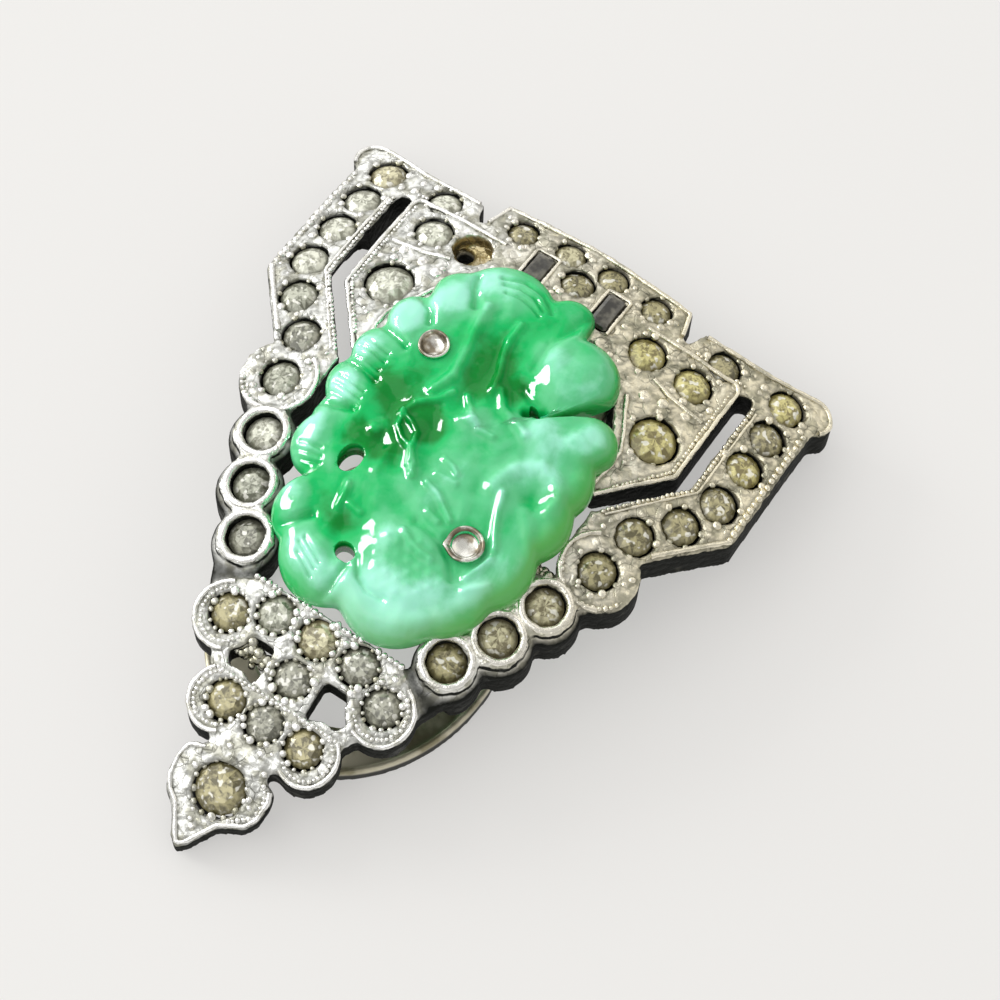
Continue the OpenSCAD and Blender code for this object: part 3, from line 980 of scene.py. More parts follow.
RIDGES = with_twins(
    Line([(18.68, 5.0), (15.0, 0.65)], 0.2),
    Line([(15.14, 14.2), (15.14, 6.5), (11.0, 1.2)], 0.1),
    Line(arc(BAND_END, 2.62, 120, 300), 0.19),
    Line([(5.8, 15.05), (9.1, 15.2), (12.1, 15.2), *arc((12.68, 14.6), 0.66, 90, 0, 6), (13.3, 6.4),
          (9.6, 1.95)], 0.17),
    Line([(12.6, 11.05), (10.9, 11.2), (9.7, 11.35), (8.3, 11.8)], 0.16),
    Line([(7.5, 9.5), (8.3, 7.9), (8.9, 6.9), (9.4, 5.6), (9.46, 4.4), (9.2, 2.6)], 0.18),
    Line([(9.4, 17.25), (14.0, 17.5), *arc((18.2, 16.95), 1.35, 95, -40, 8)], 0.17),
    Line([(0.0, 18.5), (3.5, 18.3), (7.45, 18.1), (7.95, 16.1)], 0.17),
    Line(arc(LOBE, 2.2, -115, 70), 0.17),
    Line(arc(LEAF, 2.05, -120, 50), 0.17),
    Line([(-2.55, -25.5), (-3.6, -25.9), (-3.85, -26.8), (-3.7, -28.0), (-3.3, -28.7), (-2.4, -29.3),
          (-1.4, -30.9), (-1.0, -31.35), (-0.5, -31.0), (0.8, -29.1), (2.4, -28.3), (2.85, -27.6),
          (2.95, -26.4), (2.7, -25.8)], 0.16, False),
    Line([(1.98, 12.7), (1.98, 16.1), (3.82, 16.1), (3.82, 12.7)], 0.15),
)


@dataclass
class Relief:
    """Milgrain rows, ridges, cup lips and grains on the casting's face. Its sizes are millimetres.

    Smooth spots and bumps have the columns x, y and radius. Webs have x, y, half width and length, and count.
    """

    stones: Stones
    seed: int = 7
    darts: int = 3000
    closeness: float = 0.95
    wear: float = 0.2
    wear_size: float = 0.6
    lip: float = 0.27
    lip_gap: float = 0.05
    lip_lift: float = 0.16
    bead_gap: float = 2.1
    jitter: float = 0.04
    # Darkest share and width of the painted shade and tarnish at cup edges, and at grains and lines.
    seam_at_cups: Plan = (0.55, 0.16)
    seam_at_marks: Plan = (0.6, 0.13)
    open_set: Prongs = Prongs((5, 6, 7), (0.22, 0.38), (0.45, 0.9), 0.2, 0.95)
    covered_set: Prongs = Prongs((13, 14, 15), (0.17, 0.36), (-0.15, 0.45), -0.2, 0.55)
    smooth_spots: Rows = (
        (18.3, 17.0, 1.25), (-18.3, 17.0, 1.25), (-2.5, -28.6, 1.35), (9.1, 10.1, 0.8), (-9.1, 10.1, 0.8),
        (11.3, 10.6, 0.6), (-11.3, 10.6, 0.6), (0.0, 13.2, 0.7),
    )
    bumps: Rows = ((8.5, 10.3, 0.55), (9.8, 10.6, 0.55), (11.5, 10.75, 0.5), (-2.7, -27.2, 0.28))
    webs: Rows = ((-3.45, -19.35, 1.35, 0.8, 30), (9.9, -4.2, 0.9, 0.6, 10))

    def __post_init__(self) -> None:
        """Reads the solids and places the grains."""
        self.solid = triangles_of("frame")
        self.cover = triangles_of("plaque")
        self.cups = np.array([(s.x, s.y, s.d / 2) for s in self.stones.set])
        self.grains = self.prongs() + self.scatter() + self.crumpled()

    def cup_gap(self, x: float, y: float) -> float:
        """Distance from a point of the plan to the nearest cup's edge."""
        return float((np.hypot(self.cups[:, 0] - x, self.cups[:, 1] - y) - self.cups[:, 2]).min())

    def on_face(self, x: float, y: float) -> bool:
        """True where the casting's face is bare.

        Args:
            x: Place across the clip.
            y: Place along the clip.

        Returns:
            Whether a grain can sit there.
        """
        above = Vector((x * MM, y * MM, 0.03))
        down = Vector((0.0, 0.0, -1.0))
        if self.cover.ray_cast(above, down)[0] is not None:
            return False
        hit = self.solid.ray_cast(above, down)[0]
        return hit is not None and abs(hit.z / MM - DOME.height(x, y)) < 0.06

    def bedded(self, x: float, y: float, radius: float) -> bool:
        """True where a whole grain stands on the bare face."""
        ways = ((0, 0), (radius, 0), (-radius, 0), (0, radius), (0, -radius))
        return all(self.on_face(x + dx, y + dy) for dx, dy in ways)

    def apart(self, found: list[Bead], x: float, y: float, radius: float, closeness: float) -> bool:
        """True where a grain keeps clear of those already placed."""
        return all(math.hypot(b.x - x, b.y - y) > (b.radius + radius) * closeness for b in found)

    def prongs(self) -> list[Bead]:
        """Grains pushed over the edges of the stones that are set in the face, most round the ornament's.

        Returns:
            The grains.
        """
        draw = random.Random(self.seed)
        found: list[Bead] = []
        for stone in self.stones.set:
            if "round_" in stone.node:
                continue
            covered = any(word in stone.node for word in ("lobe", "leaf", "ornament", "tip"))
            kind = self.covered_set if covered else self.open_set
            count = draw.choice(kind.counts)
            start = draw.uniform(0, math.tau)
            for i in range(count):
                bearing = start + math.tau * (i + draw.uniform(-0.25, 0.25)) / count
                radius = draw.uniform(*kind.radii)
                away = stone.d / 2 + radius * draw.uniform(*kind.reach)
                x, y = stone.x + away * math.cos(bearing), stone.y + away * math.sin(bearing)
                outer = (x + radius * math.cos(bearing), y + radius * math.sin(bearing))
                kept = self.cup_gap(x, y) > radius * kind.clear and self.on_face(*outer)
                if kept and self.apart(found, x, y, radius, kind.closeness):
                    found.append(Bead(x, y, radius, draw.uniform(-0.24, -0.08), draw.uniform(0.5, 0.78)))
        return found

    def crumpled(self) -> list[Bead]:
        """Sunken lumps of metal that partly close two gaps of the casting.

        Returns:
            The lumps.
        """
        draw = random.Random(self.seed + 4)
        found = []
        for x, y, across, along, count in self.webs:
            for _ in range(count):
                bearing = draw.uniform(0, math.tau)
                share = math.sqrt(draw.random())
                at = (x + across * share * math.cos(bearing), y + along * share * math.sin(bearing))
                size = (draw.uniform(0.2, 0.48), draw.uniform(-0.85, -0.4), draw.uniform(0.5, 1.0))
                found.append(Bead(*at, *size))
        return found

    def scatter(self) -> list[Bead]:
        """Smooth bumps, and grains between the stones, rows and ridges, thrown like darts.

        Returns:
            The bumps and grains.
        """
        draw = random.Random(self.seed + 1)
        lines = np.array([p for line in MILGRAIN + RIDGES for p in spaced(line.corners, 0.3)])
        (x0, y0, _), (x1, y1, _) = [[c / MM for c in corner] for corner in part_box("frame")]
        found = [
            Bead(side * x, y, radius, -0.18, 0.62)
            for x, y, radius in self.bumps for side in ((1, -1) if x > 0 else (1,))
        ]
        nearby: dict[tuple[int, int], list[Bead]] = {}
        around = [(i, j) for i in (-1, 0, 1) for j in (-1, 0, 1)]
        for _ in range(self.darts):
            x, y = draw.uniform(x0, x1), draw.uniform(y0, y1)
            radius = draw.uniform(0.17, 0.36)
            bead = Bead(x, y, radius, draw.uniform(-0.2, -0.06), draw.uniform(0.5, 0.8))
            near = [b for i, j in around for b in nearby.get((int(x) + i, int(y) + j), [])]
            if self.cup_gap(x, y) < radius * 0.9 or not self.apart(near, x, y, radius, self.closeness):
                continue
            if np.hypot(lines[:, 0] - x, lines[:, 1] - y).min() < radius + 0.1:
                continue
            if any(math.hypot(sx - x, sy - y) < r for sx, sy, r in self.smooth_spots):
                continue
            if self.bedded(x, y, radius):
                nearby.setdefault((int(x), int(y)), []).append(bead)
                found.append(bead)
        return found

    def creases(self, x: np.ndarray, y: np.ndarray) -> np.ndarray:
        """How dark the painted shade and tarnish are in the seams that run round stones, grains and lines.

        Args:
            x: Places across the face.
            y: Places along the face.

        Returns:
            The darkness of the painted shade and tarnish, 0 to 1.
        """
        (darkest, width), (mark_darkest, mark_width) = self.seam_at_cups, self.seam_at_marks
        gaps = np.hypot(x[:, None] - self.cups[:, 0], y[:, None] - self.cups[:, 1]) - self.cups[:, 2]
        dark = darkest * np.exp(-((np.abs(gaps).min(axis=1) / width) ** 2))
        marks = [(b.x, b.y, b.radius) for b in self.grains]
        marks += [(*p, line.radius) for line in MILGRAIN + RIDGES for p in spaced(line.corners, 0.15)]
        tree = KDTree(len(marks))
        for i, (mx, my, _) in enumerate(marks):
            tree.insert((mx, my, 0.0), i)
        tree.balance()
        for i in range(len(x)):
            _, which, away = tree.find((x[i], y[i], 0.0))
            dark[i] = max(dark[i], mark_darkest * math.exp(-(((away - marks[which][2]) / mark_width) ** 2)))
        return dark

    def build_lips(self) -> Piece:
        """Models the raised lips of the stepped round bezels.

        Returns:
            The lips.
        """
        lips = []
        for stone in self.stones.set:
            if "round_" in stone.node:
                deselect()
                bpy.ops.mesh.primitive_torus_add(
                    major_radius=(stone.d / 2 + self.lip_gap + self.lip) * MM, minor_radius=self.lip * MM,
                    major_segments=40, minor_segments=8,
                )
                place = Matrix.Translation(DOME.point(stone.x, stone.y, self.lip_lift))
                bpy.context.object.matrix_world = place @ DOME.turn(stone.x, stone.y)
                lips.append(bpy.context.object)
        return self.worn(lips, "cup_lips")

    def worn(self, pieces: list[Piece], name: str) -> Piece:
        """Joins smooth wires or lips and makes them uneven, as if worn.

        Args:
            pieces: The wires or lips.
            name: Name of the joined object.

        Returns:
            The joined object.
        """
        piece = joined(pieces, name)
        make_uneven(piece, name, self.wear_size, self.wear)
        return settle(piece, name)

    def row_beads(self) -> list[Bead]:
        """The milgrain's beads, left out over cups and gaps.

        Returns:
            The beads.
        """
        draw = random.Random(self.seed + 2)
        shift = self.jitter
        return [
            Bead(x + draw.uniform(-shift, shift), y + draw.uniform(-shift, shift),
                 line.radius * draw.uniform(0.8, 1.2), draw.uniform(-shift, 0.05), 0.9)
            for line in MILGRAIN for x, y in spaced(line.corners, line.radius * self.bead_gap)
            if self.cup_gap(x, y) > line.radius * 0.5 and self.on_face(x, y)
        ]

    def dress(self, shop: Workshop) -> None:
        """Builds the relief and hands it over.

        Args:
            shop: Takes the pieces.
        """
        for piece in (
            strew(self.row_beads(), "milgrain", self.seed),
            strew(self.grains, "grains", self.seed + 1),
            self.worn([wire(line.corners, line.radius) for line in RIDGES], "face_ridges"),
            self.build_lips(),
        ):
            shop.deliver(piece, BeadMetal(), FRONT)


@dataclass
class FrontCasting:
    """The casting, softened and made uneven as cast metal is. Its sizes are millimetres."""

    relief: Relief
    voxel: float = 0.225
    unevenness: tuple[tuple[str, float, float], ...] = (("lumps", 0.9, 0.34), ("pits", 0.4, 0.16))
    face_depth: float = 0.6
    # Depth below the face within which seams get painted shade and tarnish.
    seam_depth: float = 0.35
    empty_cup: Plan = (-7.5, 13.4)
    foil_radius: float = 1.63
    foil_from: float = 0.15
    foil_to: float = 1.9

    def build(self) -> Piece:
        """Models the softened casting from a copy of the solid.

        Returns:
            The casting.
        """
        piece = softened("frame", "front_casting", self.voxel, 2)
        group = piece.vertex_groups.new(name="face")
        quarters = (np.clip(1.0 - self.places(piece)[1] / self.face_depth, 0.0, 1.0) * 4).round()
        for step in range(1, 5):
            group.add(np.where(quarters == step)[0].tolist(), step / 4, "REPLACE")
        for name, size, height in self.unevenness:
            make_uneven(piece, name, size, height, "face")
        self.paint(piece)
        return settle(piece, "front_casting")

    def places(self, piece: Piece) -> tuple[np.ndarray, np.ndarray]:
        """Places of the casting's vertices, and their depths below the face.

        Args:
            piece: The casting.

        Returns:
            The places and the depths.
        """
        found = np.empty(len(piece.data.vertices) * 3)
        piece.data.vertices.foreach_get("co", found)
        found = found.reshape(-1, 3) / MM
        return found, DOME.height(found[:, 0], found[:, 1]) - found[:, 2]

    def paint(self, piece: Piece) -> None:
        """Stores the painted shade and tarnish in the seams, and where old foil is left in the empty cup.

        Args:
            piece: The casting.
        """
        places, depth = self.places(piece)
        dark = np.zeros(len(places))
        near = np.where(np.abs(depth) < self.seam_depth)[0]
        dark[near] = self.relief.creases(places[near, 0], places[near, 1])
        away = np.hypot(places[:, 0] - self.empty_cup[0], places[:, 1] - self.empty_cup[1])
        foil = np.clip((self.foil_radius - away) / 0.2, 0, 1) * np.clip((depth - self.foil_from) / 0.2, 0, 1)
        store(piece, "crevice_shade_and_tarnish", dark)
        store(piece, "old_foil", foil * np.clip((self.foil_to - depth) / 0.3, 0, 1))

    def dress(self, shop: Workshop) -> None:
        """Builds the casting and hands it over."""
        shop.deliver(self.build(), CastMetal(), FRONT, ("frame",))


@dataclass(frozen=True)
class Stroke:
    """A carved line: half its width, its height, below zero for a cut, and its corners."""

    width: float
    height: float
    corners: tuple[Plan, ...]

    def relief(self, x: np.ndarray, y: np.ndarray) -> np.ndarray:
        """Heights of the line over the ground.

        Args:
            x: Places across.
            y: Places along.

        Returns:
            The heights.
        """
        nearest = np.full_like(x, 99.0)
        for (ax, ay), (bx, by) in zip(self.corners, self.corners[1:]):
            dx, dy = bx - ax, by - ay
            along = np.clip(((x - ax) * dx + (y - ay) * dy) / (dx * dx + dy * dy), 0, 1)
            nearest = np.minimum(nearest, np.hypot(x - ax - along * dx, y - ay - along * dy))
        return self.height * np.exp(-(nearest / self.width) ** 2)


@dataclass(frozen=True)
class Swell:
    """A rounded rise or hollow of the carving: its middle, half width and length, height and turn in degrees.

    The crisper it is, the sharper are its bounds. A hollow's height is below zero.
    """

    x: float
    y: float
    across: float
    along: float
    height: float
    crisp: float
    turn: float = 0.0

    def relief(self, x: np.ndarray, y: np.ndarray) -> np.ndarray:
        """Heights of the rise over the ground.

        Args:
            x: Places across.
            y: Places along.

        Returns:
            The heights.
        """
        turn = math.radians(self.turn)
        dx, dy = x - self.x, y - self.y
        across = (dx * math.cos(turn) + dy * math.sin(turn)) / self.across
        along = (dy * math.cos(turn) - dx * math.sin(turn)) / self.along
        return self.height * np.exp(-((across ** 2 + along ** 2) ** self.crisp))


def rows_of(kind: type, *rows: tuple) -> tuple:
    """One object of a kind from each row of its fields' values."""
    return tuple(kind(*row) for row in rows)


def alike(width: float, height: float, *lines: tuple[Plan, ...]) -> tuple[Stroke, ...]:
    """Carved lines of the same width and height."""
    return tuple(Stroke(width, height, line) for line in lines)


SWELLS = rows_of(
    Swell,
    (4.25, 8.15, 2.6, 2.7, 0.95, 2.2), (8.1, 4.1, 1.4, 1.6, 0.45, 2.0), (5.6, 2.7, 2.3, 1.6, 0.42, 1.5, -10),
    (2.5, -2.9, 2.6, 2.0, 0.2, 1.5), (2.6, -10.0, 3.1, 2.35, 0.5, 2.5, 4), (0.1, -8.5, 1.5, 1.1, 0.12, 1.5),
    (2.6, -7.3, 1.3, 1.2, 0.15, 1.5), (0.6, 1.1, 0.8, 1.0, 0.32, 1.5), (-4.4, -3.1, 0.5, 0.45, 0.4, 1.5),
    (-5.7, 7.7, 1.2, 1.3, 0.3, 1.6), (-7.4, 5.1, 1.1, 1.1, 0.3, 1.6), (-7.9, 1.8, 1.3, 1.15, 0.3, 1.6),
    (-8.0, -1.4, 1.3, 1.15, 0.3, 1.6), (-7.9, -5.0, 1.2, 1.4, 0.26, 1.6), (-6.3, -10.0, 1.2, 1.3, 0.24, 1.6),
    (-3.4, -12.6, 1.5, 1.3, 0.26, 1.6, -20), (-2.2, 10.8, 2.2, 1.3, 0.25, 1.6),
    (7.5, -7.0, 1.6, 2.6, 0.2, 1.5, 20), (-0.9, 5.9, 1.7, 2.4, -0.42, 1.0),
    (-4.6, -0.5, 1.7, 1.2, -0.42, 1.0),
    (-3.6, -3.5, 1.0, 1.3, -0.32, 1.0), (-1.2, -1.0, 0.9, 0.9, -0.36, 1.0), (7.1, -1.6, 0.9, 0.7, -0.4, 1.2),
    (1.7, 4.4, 1.0, 1.3, -0.35, 1.0), (-5.4, -7.6, 1.2, 1.2, -0.2, 1.0), (-2.2, -9.6, 1.1, 1.1, -0.3, 1.0),
)
STROKES = (
    *rows_of(
        Stroke,
        (0.42, 0.44, ((-3.3, 8.8), (-3.0, 6.9), (-2.5, 4.7), (-2.2, 2.9), (-2.8, 1.3))),
        (0.28, 0.3, ((-1.5, 1.9), (-2.1, 0.9), (-3.2, 0.0), (-3.6, -1.1))),
        (0.3, 0.36, ((-0.7, 8.9), (-0.7, 7.4), (-0.4, 6.2), (0.2, 4.9), (0.5, 3.6))),
        (0.34, 0.36, ((1.0, 3.9), (1.8, 2.8), (3.2, 2.3), (4.1, 1.9))),
        (0.26, 0.28, ((-0.6, 2.2), (0.5, 1.0), (1.4, 0.5), (2.4, 0.6))),
        (0.24, 0.2, ((-0.1, 0.4), (0.8, 0.9))),
        (0.2, 0.36, ((-3.5, -1.1), (-3.3, -2.1), (-2.5, -2.8), (-1.6, -3.1), (-1.1, -4.1), (-0.5, -4.6))),
        (0.2, 0.36, ((-3.5, -1.1), (-2.5, -1.5), (-1.9, -1.9), (-1.5, -3.1), (-0.8, -3.9), (-0.5, -4.6))),
        (0.35, 0.2, ((-4.2, -2.3), (-2.8, -3.4), (-2.7, -5.6))),
        (0.24, 0.32, ((-3.7, -7.2), (-3.5, -8.0), (-3.4, -8.9))),
        (0.22, 0.26, ((-2.9, -8.4), (-1.9, -8.5))),
        (0.22, 0.3, ((0.6, -4.5), (1.7, -4.8), (2.5, -5.3), (3.3, -5.8))),
        (0.22, 0.22, ((1.8, -6.1), (2.7, -6.3))),
        (0.2, 0.2, ((0.7, -2.5), (1.5, -2.7), (2.0, -3.0))),
        (0.2, 0.18, ((0.8, -3.6), (1.7, -3.6), (2.3, -3.6))),
        (0.24, 0.28, ((1.2, -8.1), (2.1, -8.6), (3.0, -8.8), (3.8, -8.8))),
        (0.3, -0.2, ((1.6, -7.1), (3.4, -7.4), (4.8, -7.9), (5.6, -9.1))),
        (0.22, -0.26, ((-0.3, -11.2), (0.4, -12.2), (1.4, -12.6), (2.6, -12.5))),
        (0.75, 0.2, ((-0.5, -12.3), (0.4, -13.4), (1.8, -14.1), (3.5, -13.9), (5.4, -12.8), (6.8, -11.2),
                     (6.8, -9.5))),
        (0.55, 0.36, ((4.4, -2.3), (4.5, -1.3), (5.1, -0.1), (6.3, 0.6), (7.6, 0.3), (8.4, -0.5),
                      (8.2, -1.7))),
        (0.26, 0.32, ((5.2, -2.4), (5.6, -3.6), (6.1, -4.7), (6.8, -5.9))),
        (0.24, 0.28, ((7.0, -6.6), (6.7, -7.6), (6.3, -8.5))),
        (0.28, 0.16, ((6.7, -9.3), (7.8, -8.2))),
        (0.5, 0.18, ((9.3, -4.9), (8.2, -3.9), (7.0, -2.5))),
        (0.26, -1.1, ((3.2, 3.4), (4.2, 4.0))),
        (0.35, -0.3, ((2.2, 4.9), (3.1, 4.3), (4.6, 4.3))),
    ),
    *alike(
        0.15, -0.22,
        ((-8.8, 1.6), (-6.7, 1.4)), ((-8.5, 0.9), (-6.7, 0.7)), ((-8.7, 2.2), (-6.8, 2.0)),
        ((-8.7, -1.6), (-6.5, -1.8)), ((-8.4, -2.2), (-6.3, -2.5)), ((-8.6, -1.0), (-6.6, -1.2)),
        ((-8.3, -6.8), (-6.4, -6.6)), ((-7.9, -7.3), (-6.2, -7.0)), ((-8.2, -6.3), (-6.7, -6.1)),
        ((-4.2, -12.2), (-2.3, -13.2)), ((-3.9, -12.8), (-2.3, -13.7)), ((-4.0, -11.8), (-2.3, -12.7)),
    ),
    Stroke(0.18, -0.24, ((-3.4, 11.0), (-2.3, 11.3), (-1.1, 11.2), (-0.1, 10.7))),
    Stroke(0.15, -0.22, ((-2.9, 10.4), (-1.8, 10.6), (-0.9, 10.5), (-0.1, 10.2))),
    Stroke(0.18, -0.24, ((-3.8, 11.4), (-2.3, 12.0), (-0.7, 11.8), (0.5, 10.9))),
    *alike(
        0.3, -0.42,
        ((-5.2, 10.6), (-4.9, 9.6), (-4.1, 8.4)), ((-7.6, 7.2), (-6.4, 6.4), (-5.9, 5.6)),
        ((-8.8, 3.9), (-7.2, 3.5), (-6.2, 3.2)), ((-9.4, 0.5), (-7.6, 0.2), (-6.6, 0.0)),
        ((-9.0, -3.2), (-7.6, -3.0), (-6.6, -2.6)), ((-8.0, -8.4), (-6.6, -8.0)),
        ((-6.2, -11.8), (-5.2, -11.0), (-4.6, -10.2)), ((-1.2, -15.0), (-0.8, -13.4), (-0.7, -11.9)),
    ),
    Stroke(0.4, -0.3, ((2.6, 12.2), (2.4, 10.4), (1.9, 8.6), (1.9, 6.6))),
)


@dataclass
class CarvedPlaque:
    """The moulded glass plaque of berries and curled leaves. Its sizes are millimetres.

    The outline's lobes have the columns x, y and radius. The glass's clouds have x, y, radius and how much
    milkier they are. The eyes and the berry's hole have x, y, half width, half length and turn in degrees.
    """

    centre: Plan = (0.2, -0.6)
    ground: float = 1.95
    edge: float = 0.6
    under: float = 0.08
    roll: float = 1.5
    seat: float = 1.88
    seat_radius: float = 1.3
    segments: int = 500
    rings: int = 170
    top_share: float = 0.78
    wall_share: float = 0.1
    dots: tuple[int, int] = (6, 8)
    dot_gap: Plan = (0.82, 0.72)
    dot_start: Plan = (-0.2, -11.8)
    dot_size: float = 0.24
    dot_height: float = 0.07
    fruit: Plan = (2.6, -10.0)
    fruit_half: Plan = (2.7, 2.0)
    ripples: int = 28
    ripple_height: float = 0.005
    seed: int = 11
    lobes: Rows = (
        (-2.6, 9.6, 3.7), (-5.6, 9.0, 2.0), (-7.1, 5.7, 1.95), (-7.4, 2.3, 2.2), (-7.5, -0.6, 2.2),
        (-7.0, -3.4, 2.0), (-6.9, -5.4, 2.3), (-5.2, -9.9, 2.4), (-2.3, -11.3, 3.5), (2.6, -10.8, 4.0),
        (4.8, -9.0, 3.75), (6.2, -6.2, 3.6), (6.6, -2.2, 3.5), (6.6, 1.0, 3.2), (7.7, 4.5, 1.9),
        (4.45, 8.2, 2.85), (1.6, 11.7, 1.7),
    )
    clouds: Rows = (
        (-4.4, 10.8, 1.8, 0.45), (-5.7, 8.0, 1.9, 0.45), (-7.6, 5.2, 1.8, 0.68), (-9.0, 1.6, 1.6, 0.58),
        (-8.4, -1.8, 1.5, 0.58), (-9.0, -5.0, 1.5, 0.6), (-8.0, -7.0, 1.2, 0.4), (-7.2, -9.8, 1.4, 0.4),
        (-4.0, -12.6, 1.8, 0.42), (0.0, -14.2, 2.4, 0.62), (3.2, -14.2, 2.4, 0.62), (6.3, -12.6, 2.4, 0.62),
        (8.0, -9.0, 2.0, 0.35), (9.6, -6.0, 2.0, 0.2), (6.1, 0.0, 1.8, 0.32), (5.6, -2.7, 1.1, 0.2),
        (5.2, 3.0, 1.6, 0.22), (8.0, 4.4, 1.3, 0.25), (2.6, 8.0, 1.3, 0.4), (5.2, 8.0, 1.6, 0.15),
        (1.8, -5.0, 1.4, 0.15), (-0.2, -8.4, 1.2, 0.3), (1.5, -11.2, 1.6, 0.2), (1.0, 0.9, 1.0, 0.2),
        (-0.6, 6.0, 2.4, -0.3), (1.4, 4.2, 1.6, -0.35), (0.9, 9.6, 1.8, -0.25), (-3.4, 6.6, 1.4, -0.2),
        (-4.2, 2.4, 2.0, -0.3), (-4.8, -0.5, 1.8, -0.36), (-1.8, -0.8, 1.6, -0.6), (-5.4, -4.0, 1.4, -0.45),
        (-3.1, -4.0, 1.6, -0.5), (-4.2, -8.8, 1.4, -0.3), (-2.9, -10.0, 1.2, -0.35), (-1.6, -7.8, 1.2, -0.25),
        (-6.3, 0.8, 1.2, -0.25), (-2.4, -2.4, 1.4, -0.35), (-0.5, 3.2, 1.6, -0.4), (2.6, -9.8, 1.9, -0.22),
        (4.3, 8.6, 2.2, -0.3),
    )
    rivets: tuple[Plan, ...] = ((-4.6, 4.2), (5.1, -6.65))
    bore: float = 0.86
    eyes: Rows = ((-4.6, -5.6, 0.78, 1.06, 6.0), (-1.25, -11.2, 0.76, 0.62, 20.0))
    berry_hole: tuple[float, ...] = (3.75, 3.75, 0.62, 0.3, 34.0)

    def reach(self, bearing: np.ndarray) -> np.ndarray:
        """Distance from the middle to the outline.

        Args:
            bearing: Bearings in radians.

        Returns:
            The distances.
        """
        out = np.zeros_like(bearing)
        for x, y, radius in self.lobes:
            dx, dy = x - self.centre[0], y - self.centre[1]
            along = dx * np.cos(bearing) + dy * np.sin(bearing)
            inside = radius ** 2 - (-dx * np.sin(bearing) + dy * np.cos(bearing)) ** 2
            out = np.maximum(out, np.where(inside > 0, along + np.sqrt(np.maximum(inside, 0)), 0))
        return out

    def soft_reach(self, bearing: np.ndarray, half: int = 720, blur: int = 24) -> np.ndarray:
        """Distance from the middle to the outline, with its notches softened.

        Args:
            bearing: Bearings in radians.
            half: Steps in half a turn.
            blur: Steps that the softening reaches.

        Returns:
            The distances.
        """
        steps = np.arange(-half, half) * math.pi / half
        sharp = self.reach(steps)
        window = np.exp(-(np.arange(-blur, blur + 1) / 5.0) ** 2 / 2)
        closed = np.concatenate([sharp[-blur:], sharp, sharp[:blur]])
        soft = np.convolve(closed, window / window.sum(), "valid")
        return np.interp(bearing, steps, soft, period=math.tau)

    def stippled(self, x: np.ndarray, y: np.ndarray) -> np.ndarray:
        """Small dots over the oval fruit at the foot of the carving.

        Args:
            x: Places across.
            y: Places along.

        Returns:
            Their heights.
        """
        relief = np.zeros_like(x)
        for row in range(self.dots[0]):
            for place in range(self.dots[1]):
                dx = self.dot_start[0] + self.dot_gap[0] * (place + (row % 2) / 2)
                dy = self.dot_start[1] + self.dot_gap[1] * row
                off = ((dx - self.fruit[0]) / self.fruit_half[0], (dy - self.fruit[1]) / self.fruit_half[1])
                if math.hypot(*off) < 1:
                    relief += self.dot_height * np.exp(-((x - dx) ** 2 + (y - dy) ** 2) / self.dot_size ** 2)
        return relief

    def rippled(self, x: np.ndarray, y: np.ndarray) -> np.ndarray:
        """Slight unevenness of the moulded glass.

        Args:
            x: Places across.
            y: Places along.

        Returns:
            Its heights.
        """
        draw = random.Random(self.seed)
        relief = np.zeros_like(x)
        for _ in range(self.ripples):
            wave = draw.uniform(0.9, 3.6)
            turn, phase = draw.uniform(0, math.tau), draw.uniform(0, math.tau)
            along = x * math.cos(turn) + y * math.sin(turn)
            relief += self.ripple_height * wave * np.sin(along * math.tau / wave + phase)
        return relief

    def tops(self, x: np.ndarray, y: np.ndarray, inset: np.ndarray) -> np.ndarray:
        """Heights of the carved surface over the casting's face.

        Args:
            x: Places across.
            y: Places along.
            inset: Distances inside the outline.

        Returns:
            The heights.
        """
        crown = self.ground + sum(swell.relief(x, y) for swell in SWELLS)
        crown = crown + sum(stroke.relief(x, y) for stroke in STROKES)
        crown = crown + self.stippled(x, y) + self.rippled(x, y)
        for rx, ry in self.rivets:
            near = np.clip((np.hypot(x - rx, y - ry) - self.seat_radius) / 0.5, 0, 1)
            crown = self.seat + (crown - self.seat) * near ** 2 * (3 - 2 * near)
        crown = np.maximum(crown, self.edge + 0.05)
        return self.edge + (crown - self.edge) * np.sqrt(1 - (1 - np.clip(inset / self.roll, 0, 1)) ** 2)

    def build(self) -> Piece:
        """Shapes a ball to the carved plaque and cuts its holes.

        Returns:
            The plaque.
        """
        deselect()
        bpy.ops.mesh.primitive_uv_sphere_add(segments=self.segments, ring_count=self.rings, radius=1.0)
        piece = bpy.context.object
        ball = np.array([v.co[:] for v in piece.data.vertices])
        down = np.arccos(np.clip(ball[:, 2], -1, 1)) / math.pi
        bearing = np.arctan2(ball[:, 1], ball[:, 0])
        reach = self.soft_reach(bearing)
        wall_end = self.top_share + self.wall_share
        share = np.where(down < self.top_share, np.clip(down / self.top_share, 0, 1) ** 0.8, 1.0)
        share = np.where(down > wall_end, (1 - down) / (1 - wall_end), share)
        x = self.centre[0] + reach * share * np.cos(bearing)
        y = self.centre[1] + reach * share * np.sin(bearing)
        inset = reach * (1 - share)
        top = self.tops(x, y, inset)
        wall = np.clip((down - self.top_share) / self.wall_share, 0, 1)
        height = np.where(down > wall_end, self.under, top + (self.under - top) * wall)
        corners = np.stack([x, y, DOME.height(x, y) + height], axis=1) * MM
        piece.data.vertices.foreach_set("co", corners.ravel())
        self.paint(piece, x, y, top, inset)
        bores = [(rx, ry, self.bore, self.bore, 0.0) for rx, ry in self.rivets]
        for hole in (*self.eyes, *bores, self.berry_hole):
            self.pierce(piece, *hole)
        return settle(piece, "carved_plaque")

